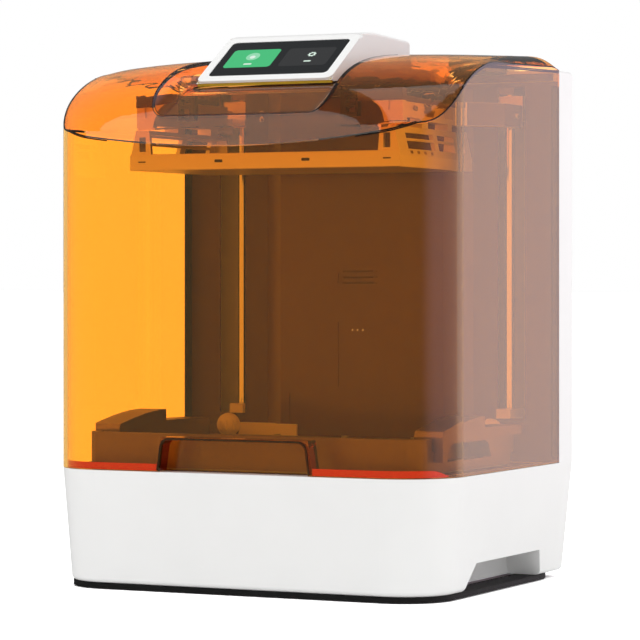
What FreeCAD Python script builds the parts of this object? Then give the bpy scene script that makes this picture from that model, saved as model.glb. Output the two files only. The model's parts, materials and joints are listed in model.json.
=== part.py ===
import FreeCAD, Part
import math
import os

# Resin printer: white base and tower, amber lid that swings up and back,
# build platform on a vertical screw slide, resin vat, display pod.
# X points right, Y points back, Z points up, all sizes in millimetres.
# The chains below run from the exposure area outwards and from the feet upwards.

V = FreeCAD.Vector
os.makedirs("parts", exist_ok=True)

# Fits and clearances
BODY_GAP = 0.4
BUSH_FIT = 0.05
SCREW_FIT = 0.08
KNOB_FIT = 0.08
LEVER_FIT = 0.08
HINGE_FIT = 0.06
AXLE_FIT = 0.08

# Exposure area, and the platform and vat round it
AREA_X = 228.0
AREA_Y = 128.0
PLATE_INSET_X = 0.5
PLATE_OVER_Y = 0.25
VAT_GAP_X = 4.5
VAT_GAP_FRONT = 5.5
VAT_GAP_REAR = 6.0
VAT_RIM_X = 22.0
VAT_RIM_Y = 17.0
WING_REACH = 7.0

# Space from the vat to the outside
SIDE_SPACE = 18.0
FRONT_SPACE = 27.0
REAR_SPACE = 33.7
TOWER_DEPTH = 31.3

# Chain in X
PLATE_X = AREA_X / 2 - PLATE_INSET_X
VAT_IN_X = PLATE_X + VAT_GAP_X
VAT_HALF_X = VAT_IN_X + VAT_RIM_X
WING_OUT_X = VAT_HALF_X + WING_REACH
HALF_W = WING_OUT_X + SIDE_SPACE

# Chain in Y
PLATE_LEN = AREA_Y + 2 * PLATE_OVER_Y
VAT_DEPTH = PLATE_LEN + VAT_GAP_FRONT + VAT_GAP_REAR + 2 * VAT_RIM_Y
DEPTH = FRONT_SPACE + VAT_DEPTH + REAR_SPACE + TOWER_DEPTH
FRONT_Y = -DEPTH / 2
REAR_Y = DEPTH / 2
VAT_Y0 = FRONT_Y + FRONT_SPACE
VAT_IN_Y0 = VAT_Y0 + VAT_RIM_Y
PLATE_Y0 = VAT_IN_Y0 + VAT_GAP_FRONT
PLATE_Y1 = PLATE_Y0 + PLATE_LEN
AREA_MID_Y = (PLATE_Y0 + PLATE_Y1) / 2
VAT_IN_Y1 = PLATE_Y1 + VAT_GAP_REAR
VAT_Y1 = VAT_IN_Y1 + VAT_RIM_Y
TOWER_Y0 = VAT_Y1 + REAR_SPACE
LID_REAR_Y = TOWER_Y0 - BODY_GAP

# Chain in Z, with the platform at the top of its travel
FOOT_H = 4.5
BASE_H = 85.7
RING_T = 1.25
FILM_T = 0.25
VAT_H = 25.8
LIP_H = 9.5
LUG_T = 5.0
PLATE_LOW_GAP = 1.1
TRAVEL = 224.0
PLATE_BAND = 8.6
END_H = 21.6
PAD_H = 5.0
ARM_H = 18.0
BEAM_LIFT = 5.5
BEAM_H = 20.0
ROD_SPARE = 10.5
TOWER_CAP = 9.0
BASE_Z0 = FOOT_H
BASE_TOP = BASE_Z0 + BASE_H
FILM_Z0 = BASE_TOP + RING_T
VAT_Z0 = FILM_Z0 + FILM_T
VAT_TOP = VAT_Z0 + VAT_H
RIM_TOP = VAT_TOP - LIP_H
PLATE_Z0 = VAT_Z0 + PLATE_LOW_GAP + TRAVEL
PLATE_TOP = PLATE_Z0 + PLATE_BAND
END_TOP = PLATE_TOP + END_H
ARM_Z0 = END_TOP + PAD_H
ARM_Z1 = ARM_Z0 + ARM_H
BEAM_Z0 = ARM_Z0 + BEAM_LIFT
BEAM_Z1 = BEAM_Z0 + BEAM_H
ROD_Z1 = BEAM_Z1 + ROD_SPARE
TOWER_TOP = ROD_Z1 + TOWER_CAP
LID_Z0 = BASE_TOP + BODY_GAP

# Outside corners
CORNER_R = 48.0
REAR_R = 5.0
REAR_R_LEAST = 3.0

# Base housing
BASE_TAPER = 7.0
BASE_EDGE_R = 4.0
BASE_WALL = 3.0
FLOOR_T = 2.5
FOOT_R = 10.0
FOOT_FLARE = 1.5
FOOT_X = HALF_W - 61.0
FOOT_FRONT_Y = FRONT_Y + 29.0
FOOT_BACK_Y = REAR_Y - 27.0
HOLD_HEIGHT = 20.0
HOLD_Y0 = FRONT_Y + 64.0
HOLD_Y1 = REAR_Y - 53.0
HOLD_SLOPE = 20.0
HOLD_SLOPE_REAR = 6.0
HOLD_DEPTH = 34.0
HOLD_WALL = 2.5
HOLD_BELOW = 5.0

# Deck on the base
DECK_T = 3.6
DECK_HALF_X = HALF_W - 17.0
DECK_Y0 = FRONT_Y + 17.0
DECK_Y1 = TOWER_Y0 - 9.7
DECK_LEDGE = 6.0
DECK_LEDGE_T = 3.0
DECK_LEDGE_ROOT = 8.0
DECK_CLEAR = 0.3
SCREW_WAY_X = 24.0

# Exposure screen and light
LCD_MARGIN_X = 8.0
LCD_MARGIN_Y = 7.0
LCD_T = 1.6
LCD_FRAME_W = 6.0
LCD_FRAME_T = 3.0
BOX_LIP = 4.0
BOX_LOW_X = 52.0
BOX_LOW_Y = 42.0
BOX_WALL = 2.0
LENS_T = 3.0
LED_T = 2.0
LED_SIZE = 3.4
LED_H = 1.0
LED_STEP_X = 10.5
LED_STEP_Y = 11.5
LED_COLS = 9
LED_ROWS = 6
SINK_X = 96.0
SINK_Y = 80.0
SINK_BASE_T = 4.0
SINK_FIN_T = 1.6
SINK_FIN_H = 11.0
SINK_FINS = 13

# Cooling fan
FAN_SIZE = 60.0
FAN_T = 12.0
FAN_WALL = 2.0
FAN_TIP_GAP = 1.5
FAN_HUB_R = 12.0
FAN_BLADE_ROOT = 1.5
FAN_HUB_BELOW = 0.6
FAN_HUB_ABOVE = 0.8
FAN_BORE_R = FAN_SIZE / 2 - FAN_WALL
FAN_BLADE_R = FAN_BORE_R - FAN_TIP_GAP
FAN_BLADES = 7
FAN_BLADE_T = 1.2
FAN_BLADE_HALF = 5.4
FAN_BLADE_PITCH = 52.0
FAN_AXLE_R = 2.0
FAN_AXLE_SHORT = 3.0
FAN_STRUT = 2.8
FAN_STRUT_T = 1.6
FAN_SEAT_R = 8.0
FAN_POST_H = 8.0
FAN_POST_R = 3.2
FAN_POST_IN = 4.0
GRILLE_BARS = 5
GRILLE_STEP = 11.0
GRILLE_BAR = 2.4

# Boards in the base
STANDOFF_H = 6.0
BOARD_T = 1.6
BOARD_X = -89.0
BOARD_Y = 60.0
BOARD_HALF_X = 23.0
BOARD_HALF_Y = 40.0
STANDOFF_R = 3.0
STANDOFF_IN = 4.0
SUPPLY_X = 89.0
SUPPLY_Y = 53.0
SUPPLY_HALF_X = 23.0
SUPPLY_HALF_Y = 43.0
SUPPLY_H = 36.0
SUPPLY_SLOTS = 8
SUPPLY_SLOT_STEP = 8.0
SUPPLY_SLOT = 3.2

# Vat
VAT_CORNER_R = 12.0
WELL_R = 8.0
LIP_T = 5.0
LIP_RUN = 20.0
RING_IN = 4.0
FILM_IN = 8.0
WING_IN_X = VAT_IN_X + 6.0
WING_Y0 = VAT_Y0 + 24.0
WING_Y1 = WING_Y0 + 74.0
WING_FRONT_Z = VAT_TOP + 5.0
WING_TOP_Z = VAT_TOP + 13.5
WING_REAR_Z = VAT_TOP + 5.0
WING_UNDER_Z = VAT_TOP - 17.5
WING_END_IN = 4.0
ARCH_Y0 = WING_Y0 + 8.0
ARCH_Y1 = WING_Y1 + 12.0
ARCH_TOP_Z = VAT_TOP - 4.5
ARCH_DEPTH = 9.0
LUG_HALF = 12.0
LUG_REACH = 20.0
LUG_ROOT = 8.0
LUG_SLOT = 8.4
SPOUT_R = 16.0
SPOUT_TIP_R = 5.0
VAT_SCREW_R = 2.6
VAT_SCREW_H = 1.6
VAT_SCREW_STEP = 60.0
VAT_SCREW_SLOT = 0.8

# Vat knobs
KNOB_X = VAT_IN_X - 3.5
KNOB_Y = VAT_Y1 + 11.0
KNOB_STUD_R = 4.0
KNOB_R = 9.5
KNOB_WASHER_R = 11.0
KNOB_WASHER_T = 2.4
KNOB_NECK_R = 6.0
KNOB_H = 29.1
KNOB_CROWN = 6.0
KNOB_GRIP_R = 1.6
KNOB_GRIP_OUT = 0.6
KNOB_GRIPS = 10

# Guide rods and screw, behind the tower panel
TOWER_WALL = 3.0
TOWER_EDGE_R = 4.0
PANEL_T = 1.2
PANEL_BACK = TOWER_Y0 + PANEL_T
REAR_INSIDE = REAR_Y - TOWER_WALL
BEAM_Y0 = PANEL_BACK + 0.5
BEAM_DEPTH = 15.6
BEAM_Y1 = BEAM_Y0 + BEAM_DEPTH
ROD_X = PLATE_X + 4.1
ROD_Y = BEAM_Y0 + 7.0
ROD_R = 4.0
ROD_BLOCK_HALF = 7.0
ROD_FOOT_H = 25.4
ROD_FOOT_TOP = BEAM_Z0 - TRAVEL - 2.1
ROD_Z0 = ROD_FOOT_TOP - ROD_FOOT_H
ROD_LEDGE_H = 7.5
ROD_LEDGE_RUN = 4.0
ROD_LEDGE_X1 = ROD_X + 5.6
ROD_HEAD_H = 9.0
BUSH_R = 6.0
BUSH_OVER = 0.5
SCREW_Y = BEAM_Y0 + 6.6
SCREW_R = 4.0
SCREW_GROOVE = 0.5
SCREW_GROOVE_W = 1.6
SCREW_LEAD = 4.0
SCREW_PLAIN = 12.0
NUT_R = 5.2
NUT_FLANGE_X = 24.0
NUT_FLANGE_Y = 10.2
NUT_FLANGE_T = 4.0
MOTOR_SIZE = 28.3
MOTOR_LEN = 34.0
MOTOR_TOP = BASE_TOP - 24.2
MOTOR_CORNER_R = 4.0
MOTOR_SEAT = 6.0
BRACKET_T = 3.0
BRACKET_OUT = 6.0
BRACKET_SHORT = 5.0
COUPLER_R = 8.0
COUPLER_LIFT = 1.0
COUPLER_H = 19.0
COUPLER_SLITS = 3
COUPLER_SLIT_STEP = 3.5
COUPLER_SLIT = 1.0
COUPLER_CORE_R = 5.8

# Tower panel and its middle cover
SLOT_X0 = ROD_X - 6.6
SLOT_X1 = ROD_X + 16.4
SLOT_Z0 = ARM_Z0 - TRAVEL - 4.1
SLOT_Z1 = BEAM_Z1 + 6.5
TOWER_SLITS = 12
TOWER_SLIT_STEP = 9.0
TOWER_SLIT = 3.0
TOWER_SLIT_X = 46.0
TOWER_SLIT_Z = TOWER_TOP - 147.0
COVER_X = 74.0
COVER_FOOT_X = 90.0
COVER_RISE = 9.0
COVER_Z0 = BASE_TOP + 9.8
COVER_Z1 = SLOT_Z1
COVER_WALL = 1.6
COVER_CAP = 2.0
WINDOW_DEEP = 0.8
WINDOW_X0 = -22.0
WINDOW_X1 = 4.0
BAR_X0 = 61.5
BAR_DEEP = 6.0
BAR_BACK = 2.0
BAR_Z0 = BASE_TOP + 14.8
BAR_H = 11.2

# Carriage, arms and platform
BEAM_WALL = 4.0
BEAM_POCKET_X0 = 20.0
BEAM_POCKET_X1 = 104.0
ARM_T = 7.6
ARM_IN = ROD_LEDGE_X1 + 0.6
ARM_OUT = ARM_IN + ARM_T
BEAM_X = ARM_OUT + 0.1
ARM_JOG_Y0 = PLATE_Y1 + 21.0
ARM_JOG_Y1 = PLATE_Y1 - 5.0
ARM_FRONT_Y = PLATE_Y0 + 13.5
END_X0 = PLATE_X - 18.5
END_LEAN = 5.0
END_WALL = 3.0
END_TOP_T = 3.0
END_FOOT_IN = 2.0
ARM_RAIL_X0 = END_X0 + 3.0
ARM_RAIL_W = 12.0
ARM_RAIL_X1 = ARM_RAIL_X0 + ARM_RAIL_W
ARM_RELIEF = 3.0
ARM_RELIEF_LOW = 4.0
ARM_RELIEF_TOP = 5.0
PAD_LEN = 12.0
PAD_FRONT_Y = AREA_MID_Y - 16.75
PAD_REAR_Y = AREA_MID_Y + 37.25
PLATE_CORE = 5.0
PLATE_RIM = 5.0
PLATE_RIB = 3.0
PLATE_RIB_LOW = 1.0
PLATE_RIB_STEP = 40.0
DASH_LEN = 6.0
DASH_H = 1.8
DASH_LIFT = 3.4
DASH_DEPTH = 2.0
DASH_STEP = 64.0
GUSSET_T = 6.0
GUSSET_OUT = 2.0
GUSSET_IN_X = 76.0
GUSSET_LIFT = 1.0
GUSSET_TOP = ARM_Z1 + 4.0
GUSSET_TIP = 5.0
GUSSET_SWEEP = 18.0
GUSSET_SWEEP_IN = 4.0
GUSSET_STEPS = 8
CLIP_LEN = 14.0
CLIP_Z0 = GUSSET_TOP - 19.0
CLIP_FINGER = 3.4
CLIP_ROOT = 4.5
CLIP_TIP = 2.0
LEVER_X = ARM_RAIL_X0 + 6.0
LEVER_Y = AREA_MID_Y + 7.25
LEVER_PIN_R = 4.0
LEVER_PIN_OVER = 1.4
LEVER_T = 4.0
LEVER_LEN = 46.0
LEVER_W = 9.0
LEVER_TAPER = 1.0
LEVER_BOSS_R = 6.75
LEVER_KNOB_H = 3.0

# Lid: seam between wall and roof, then the roof's crown and edges
LID_T = 3.0
RIM_H = 3.2
RIM_W = 5.5
SEAM_FRONT_Z = TOWER_TOP - 68.0
SEAM_SMILE = 15.6
SEAM_RISE = 44.8
SEAM_MID = 34.2
SEAM_LEN = 12.9
SEAM_SLOPE = 0.026
STRIP_H = 1.1
ROOF_FRONT_Z = TOWER_TOP - 50.0
ROOF_NOSE = 11.0
ROOF_NOSE_LEN = 6.0
ROOF_ROLL = 43.0
ROOF_ROLL_LEN = 34.0
ROOF_SLOPE = 0.045
ROOF_ARCH = 3.6
BROW_BOW = 30.0
BROW_BOW_POWER = 4
BROW_BOW_LEN = 15.0
ROLL_W = 16.0
ROLL_LIP = 3.0
REAR_ROLL_W = 14.0
REAR_DROP = 8.0
REAR_DROP_SIDE = 0.2
ROOF_T = 2.6
GRIP_X0 = 62.5
GRIP_X1 = 59.0
GRIP_H = 23.4
GRIP_TOP = LID_Z0 + GRIP_H
GRIP_R = 6.0
GRIP_DEPTH = 13.0
GRIP_T = 2.4

# Display pod, and the bay and notch for it in the roof
POD_X = 57.0
NOTCH_GAP_X = 2.6
NOTCH_GAP_Y = 2.4
NOTCH_X = POD_X + NOTCH_GAP_X
NOTCH_Y = FRONT_Y + 46.6
NOTCH_R = 5.0
POD_LOW_Y = NOTCH_Y + NOTCH_GAP_Y
POD_LOW_Z = TOWER_TOP - 13.4
POD_RUN = 55.0
POD_RISE = 36.0
POD_HIGH_Y = POD_LOW_Y + POD_RUN
POD_HIGH_Z = POD_LOW_Z + POD_RISE
POD_TOP_Z = POD_HIGH_Z + 2.7
POD_REAR_Y = TOWER_Y0 - 44.7
POD_EDGE_R = 2.0
NECK_TOP_Z = TOWER_TOP + 7.5
NECK_REAR_Y = REAR_Y - 3.0
NECK_CUT = 3.0
BEZEL_T = 1.9
BEZEL_R = 6.0
GLASS_X = 50.3
GLASS_LOW = 7.6
GLASS_HIGH = 59.4
GLASS_T = 1.4
GLASS_SUNK = 0.4
GLASS_R = 4.0
MODULE_T = 5.0
MODULE_ROOM = 1.0
TRIM_T = 2.8
TRIM_RUN = 7.0
TRIM_EDGE = 0.5
BAY_X = NOTCH_X + 15.4
BAY_R = 14.0
BAY_FRONT_Y = FRONT_Y + 6.0
BAY_FRONT_Z = TOWER_TOP - 40.0
BAY_KNEE_Y = FRONT_Y + 47.0
BAY_KNEE_Z = TOWER_TOP - 17.5
BAY_REAR_Z = TOWER_TOP - 1.0
BAY_BEND_R = 60.0
BAY_OVER = 20.0

# Lid hinge
HINGE_PIN_R = 2.5
KNUCKLE_R = 5.0
HINGE_Y = TOWER_Y0 + 6.7
HINGE_Z = TOWER_TOP + KNUCKLE_R
KNUCKLE_X0 = 88.0
KNUCKLE_X1 = 118.0
EAR_T = 6.0
EAR_GAP = 0.4
LEAF_T = 3.0
LEAF_DROP = 1.0
LEAF_LEN = 39.3
LEAF_Y0 = LID_REAR_Y - LEAF_LEN
POCKET_DEEP = 8.0
POCKET_GAP = 1.5

# Rear fittings
INLET_X = -108.0
INLET_W = 28.0
INLET_H = 20.5
INLET_Z = BASE_Z0 + 47.5
INLET_DEEP = 20.9
INLET_WALL = 2.5
INLET_BACK = 3.0
BLADE_STEP = 6.0
BLADE_W = 2.0
BLADE_H = 4.4
SWITCH_X = -72.0
SWITCH_W = 15.0
SWITCH_H = 21.0
SWITCH_DEEP = 16.9
SWITCH_WALL = 1.6
SWITCH_TILT = 10.0
ROCKER_SUNK = 6.4
ROCKER_GAP = 0.5
ROCKER_AXLE_R = 1.5
USB_X = 104.0
USB_W = 14.0
USB_H = 7.0
USB_Z = BASE_Z0 + 53.5
USB_DEEP = 16.9
USB_WALL = 0.8
USB_TONGUE_X = 11.0
USB_TONGUE_T = 1.8
FITTING_SUNK = 0.5
REAR_CUT = 16.0
VENT_X = 62.0
VENT_SLOTS = 9
VENT_PITCH = 6.0
VENT_SLOT = 3.0
VENT_Z0 = BASE_Z0 + 25.5
VENT_H = 40.0

# Reach of a cutting shape past what it cuts
OVER = 1.0


def box(x0, x1, y0, y1, z0, z1):
    return Part.makeBox(x1 - x0, y1 - y0, z1 - z0, V(x0, y0, z0))


def around(x, y, hx, hy, z0, z1):
    return box(x - hx, x + hx, y - hy, y + hy, z0, z1)


def rod(radius, base, direction, length):
    return Part.makeCylinder(radius, length, base, direction)


def upright(radius, x, y, z0, z1):
    return rod(radius, V(x, y, z0), V(0, 0, 1), z1 - z0)


def cross_rod(radius, x0, x1, y, z):
    return rod(radius, V(x0, y, z), V(1, 0, 0), x1 - x0)


def mirrored(shape):
    return shape.mirror(V(0, 0, 0), V(1, 0, 0))


def face_of(points):
    return Part.Face(Part.makePolygon(points + [points[0]]))


def side_prism(outline, x0, x1):
    points = [V(x0, y, z) for y, z in outline]
    return face_of(points).extrude(V(x1 - x0, 0, 0))


def front_prism(outline, y0, y1):
    points = [V(x, y0, z) for x, z in outline]
    return face_of(points).extrude(V(0, y1 - y0, 0))


def plan_prism(outline, z0, z1):
    points = [V(x, y, z0) for x, y in outline]
    return face_of(points).extrude(V(0, 0, z1 - z0))


def plan_wire(hx, y0, y1, rf, rr, z):
    """Rounded rectangle seen from above, with its own front and rear corner radii."""
    corners = [(hx, y0, rf, -90), (hx, y1, rr, 0), (-hx, y1, rr, 90), (-hx, y0, rf, 180)]
    arcs = []
    for cx, cy, r, start in corners:
        sx = 1 if cx > 0 else -1
        sy = -1 if cy == y0 else 1
        centre = V(cx - sx * r, cy - sy * r, z)
        circle = Part.Circle(centre, V(0, 0, 1), r)
        arcs.append(Part.Arc(circle, math.radians(start), math.radians(start + 90)).toShape())
    edges = []
    for i, arc in enumerate(arcs):
        edges.append(arc)
        a = arc.valueAt(arc.LastParameter)
        following = arcs[(i + 1) % 4]
        b = following.valueAt(following.FirstParameter)
        edges.append(Part.makeLine(a, b))
    return Part.Wire(edges)


def plan_solid(hx, y0, y1, rf, rr, z0, z1):
    return Part.Face(plan_wire(hx, y0, y1, rf, rr, z0)).extrude(V(0, 0, z1 - z0))


def rounded(shape, radius, choose):
    edges = [e for e in shape.Edges if choose(e)]
    return shape.makeFillet(radius, edges)


def edge_mid(edge):
    return edge.valueAt((edge.FirstParameter + edge.LastParameter) / 2)


def save(name, shape):
    if len(shape.Solids) == 1:
        shape = shape.Solids[0]
    shape.exportStep("parts/" + name + ".step")


def save_both(name, right):
    save(name, Part.makeCompound([right, mirrored(right)]))


def save_pair(name, right):
    save(name + "_right", right)
    save(name + "_left", mirrored(right))


# Base housing
def base_loft(inset, z_low, z_high):
    wires = []
    for z in (z_low, z_high):
        taper = BASE_TAPER * (1 - (z - BASE_Z0) / BASE_H) + inset
        rr = max(REAR_R - taper, REAR_R_LEAST)
        wires.append(plan_wire(HALF_W - taper, FRONT_Y + taper, REAR_Y - taper, CORNER_R - taper, rr, z))
    return Part.makeLoft(wires, True, True)


def rear_wall_y(z):
    return REAR_Y - BASE_TAPER * (1 - (z - BASE_Z0) / BASE_H)


def hold_tool(grow):
    inner = HALF_W - HOLD_DEPTH - grow
    top = BASE_Z0 + HOLD_HEIGHT + grow
    low = BASE_Z0 - HOLD_BELOW
    slope = HOLD_SLOPE * HOLD_BELOW / HOLD_HEIGHT
    outline = [(HOLD_Y0 - slope - grow, low), (HOLD_Y1 + grow, low)]
    outline.append((HOLD_Y1 - HOLD_SLOPE_REAR + grow, top))
    outline.append((HOLD_Y0 + HOLD_SLOPE - grow, top))
    return side_prism(outline, inner, HALF_W + HOLD_BELOW)


def rear_cut(x, z, width, height):
    return box(x - width / 2, x + width / 2, REAR_Y - REAR_CUT, REAR_Y + OVER, z - height / 2, z + height / 2)


deck_z0 = BASE_TOP - DECK_T
outer = base_loft(0.0, BASE_Z0, BASE_TOP)
outer = rounded(outer, BASE_EDGE_R, lambda e: e.BoundBox.ZMax < BASE_Z0 + 0.01)
room = base_loft(BASE_WALL, BASE_Z0 - OVER, deck_z0)
hold = hold_tool(0.0)
hold_wall = hold_tool(HOLD_WALL)
outer = outer.cut(hold).cut(mirrored(hold))
housing = outer.cut(room.cut(hold_wall).cut(mirrored(hold_wall)))
housing = housing.cut(box(-DECK_HALF_X, DECK_HALF_X, DECK_Y0, DECK_Y1, deck_z0 - OVER, BASE_TOP + OVER))
ledge = box(-DECK_HALF_X - DECK_LEDGE_ROOT, DECK_HALF_X + DECK_LEDGE_ROOT, DECK_Y0 - DECK_LEDGE_ROOT,
            DECK_Y1 + DECK_LEDGE_ROOT / 2, deck_z0 - DECK_LEDGE_T, deck_z0)
ledge = ledge.cut(box(-DECK_HALF_X + DECK_LEDGE, DECK_HALF_X - DECK_LEDGE, DECK_Y0 + DECK_LEDGE,
                      DECK_Y1 - DECK_LEDGE, deck_z0 - DECK_LEDGE_T - OVER, deck_z0 + OVER))
housing = housing.fuse(ledge.common(base_loft(BASE_WALL / 3, BASE_Z0, BASE_TOP)))
screw_way = box(-SCREW_WAY_X, SCREW_WAY_X, DECK_Y1 + BODY_GAP, REAR_INSIDE - BASE_WALL,
                deck_z0 - DECK_LEDGE_T - OVER, BASE_TOP + OVER)
housing = housing.cut(screw_way)
housing = housing.cut(rear_cut(INLET_X, INLET_Z, INLET_W, INLET_H))
housing = housing.cut(rear_cut(SWITCH_X, INLET_Z, SWITCH_W, SWITCH_H))
housing = housing.cut(rear_cut(USB_X, USB_Z, USB_W, USB_H))
for i in range(VENT_SLOTS):
    x = VENT_X + (i - (VENT_SLOTS - 1) / 2) * VENT_PITCH
    housing = housing.cut(rear_cut(x, VENT_Z0 + VENT_H / 2, VENT_SLOT, VENT_H))
save("base_housing", housing)

# Bottom plate between the hand-holds with a fan grille, and the four feet under it
floor_top = BASE_Z0 + FLOOR_T
floor_plate = box(-HALF_W, HALF_W, FRONT_Y, REAR_Y, BASE_Z0, floor_top).common(room)
floor_plate = floor_plate.cut(hold_wall).cut(mirrored(hold_wall))
floor_plate = floor_plate.cut(upright(FAN_BORE_R, 0, AREA_MID_Y, BASE_Z0 - OVER, floor_top + OVER))
for i in range(GRILLE_BARS):
    y = AREA_MID_Y + (i - (GRILLE_BARS - 1) / 2) * GRILLE_STEP
    floor_plate = floor_plate.fuse(around(0, y, FAN_BORE_R + OVER, GRILLE_BAR / 2, BASE_Z0, floor_top))
save("bottom_plate", floor_plate.removeSplitter())

feet = []
for fx in (FOOT_X, -FOOT_X):
    for fy in (FOOT_FRONT_Y, FOOT_BACK_Y):
        feet.append(Part.makeCone(FOOT_R - FOOT_FLARE, FOOT_R, FOOT_H, V(fx, fy, 0), V(0, 0, 1)))
save("feet", Part.makeCompound(feet))

# Deck plate with the exposure screen in its middle
screen_x = AREA_X / 2 + LCD_MARGIN_X
screen_y = AREA_Y / 2 + LCD_MARGIN_Y
deck = box(-DECK_HALF_X + DECK_CLEAR, DECK_HALF_X - DECK_CLEAR, DECK_Y0 + DECK_CLEAR,
           DECK_Y1 - DECK_CLEAR, deck_z0, BASE_TOP)
deck = deck.cut(around(0, AREA_MID_Y, screen_x, screen_y, deck_z0 - OVER, BASE_TOP + OVER))
stud_hole = upright(KNOB_STUD_R, KNOB_X, KNOB_Y, deck_z0 - OVER, BASE_TOP + OVER)
save("deck_plate", deck.cut(stud_hole).cut(mirrored(stud_hole)))
save("exposure_screen", around(0, AREA_MID_Y, screen_x, screen_y, BASE_TOP - LCD_T, BASE_TOP))
frame_low = deck_z0 - LCD_FRAME_T
screen_frame = around(0, AREA_MID_Y, screen_x + LCD_FRAME_W, screen_y + LCD_FRAME_W, frame_low, deck_z0)
screen_frame = screen_frame.fuse(around(0, AREA_MID_Y, screen_x, screen_y, deck_z0, BASE_TOP - LCD_T))
light_way = around(0, AREA_MID_Y, AREA_X / 2, AREA_Y / 2, frame_low - OVER, BASE_TOP)
save("screen_frame", screen_frame.cut(light_way).removeSplitter())


# Light box under the screen, a square funnel over the lamp board
def tapered(hx0, hy0, z0, hx1, hy1, z1):
    rings = []
    for hx, hy, z in ((hx0, hy0, z0), (hx1, hy1, z1)):
        corners = [V(-hx, AREA_MID_Y - hy, z), V(hx, AREA_MID_Y - hy, z),
                   V(hx, AREA_MID_Y + hy, z), V(-hx, AREA_MID_Y + hy, z)]
        rings.append(Part.makePolygon(corners + [corners[0]]))
    return Part.makeLoft(rings, True, True)


# The fan, heat sink and LED board stack up from the bottom plate, and the light box takes the height left
fan_low = floor_top + FAN_POST_H
fin_low = fan_low + FAN_T
fin_top = fin_low + SINK_FIN_H
sink_top = fin_top + SINK_BASE_T
box_low_z = sink_top + LED_T
box_top_x = AREA_X / 2 + BOX_LIP
box_top_y = AREA_Y / 2 + BOX_LIP
light_box = tapered(BOX_LOW_X, BOX_LOW_Y, box_low_z, box_top_x, box_top_y, frame_low)
light_void = tapered(BOX_LOW_X - BOX_WALL, BOX_LOW_Y - BOX_WALL, box_low_z - 0.01,
                     box_top_x - BOX_WALL, box_top_y - BOX_WALL, frame_low + 0.01)
save("light_box", light_box.cut(light_void))
save("collimating_lens", around(0, AREA_MID_Y, AREA_X / 2, AREA_Y / 2, frame_low, frame_low + LENS_T))
led_board = around(0, AREA_MID_Y, BOX_LOW_X, BOX_LOW_Y, sink_top, box_low_z)
for i in range(LED_COLS):
    for j in range(LED_ROWS):
        lx = (i - (LED_COLS - 1) / 2) * LED_STEP_X
        ly = AREA_MID_Y + (j - (LED_ROWS - 1) / 2) * LED_STEP_Y
        led_board = led_board.fuse(around(lx, ly, LED_SIZE / 2, LED_SIZE / 2, sink_top, box_low_z + LED_H))
save("led_board", led_board.removeSplitter())
sink = around(0, AREA_MID_Y, SINK_X / 2, SINK_Y / 2, fin_top, sink_top)
for i in range(SINK_FINS):
    x = (i - (SINK_FINS - 1) / 2) * (SINK_X - SINK_FIN_T) / (SINK_FINS - 1)
    sink = sink.fuse(around(x, AREA_MID_Y, SINK_FIN_T / 2, SINK_Y / 2, fin_low, fin_top))
save("heat_sink", sink.removeSplitter())

# Cooling fan under the heat sink, on posts from the bottom plate
fan = around(0, AREA_MID_Y, FAN_SIZE / 2, FAN_SIZE / 2, fan_low, fin_low)
fan = fan.cut(upright(FAN_BORE_R, 0, AREA_MID_Y, fan_low - OVER, fin_low + OVER))
for angle in (45, 135, 225, 315):
    strut = box(0, FAN_BORE_R + FAN_POST_IN, -FAN_STRUT / 2, FAN_STRUT / 2, fan_low, fan_low + FAN_STRUT_T)
    strut.rotate(V(0, 0, 0), V(0, 0, 1), angle)
    strut.translate(V(0, AREA_MID_Y, 0))
    fan = fan.fuse(strut)
axle_top = fin_low - FAN_AXLE_SHORT
fan = fan.fuse(upright(FAN_SEAT_R, 0, AREA_MID_Y, fan_low, fan_low + FAN_STRUT_T))
fan = fan.fuse(upright(FAN_AXLE_R, 0, AREA_MID_Y, fan_low, axle_top))
post_in = FAN_SIZE / 2 - FAN_POST_IN
for sx in (1, -1):
    for sy in (1, -1):
        fan = fan.fuse(upright(FAN_POST_R, sx * post_in, AREA_MID_Y + sy * post_in, floor_top, fan_low))
save("fan_housing", fan.removeSplitter())
rotor_low = fan_low + FAN_STRUT_T + FAN_HUB_BELOW
rotor_top = fin_low - FAN_HUB_ABOVE
rotor = upright(FAN_HUB_R, 0, AREA_MID_Y, rotor_low, rotor_top)
for i in range(FAN_BLADES):
    blade = box(FAN_HUB_R - FAN_BLADE_ROOT, FAN_BLADE_R, -FAN_BLADE_T / 2, FAN_BLADE_T / 2,
                -FAN_BLADE_HALF, FAN_BLADE_HALF)
    blade.rotate(V(0, 0, 0), V(1, 0, 0), FAN_BLADE_PITCH)
    blade.rotate(V(0, 0, 0), V(0, 0, 1), i * 360.0 / FAN_BLADES)
    blade.translate(V(0, AREA_MID_Y, (rotor_low + rotor_top) / 2))
    rotor = rotor.fuse(blade)
rotor = rotor.cut(upright(FAN_AXLE_R + AXLE_FIT, 0, AREA_MID_Y, rotor_low - OVER, axle_top + BODY_GAP))
save("fan_rotor", rotor.removeSplitter())

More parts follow.
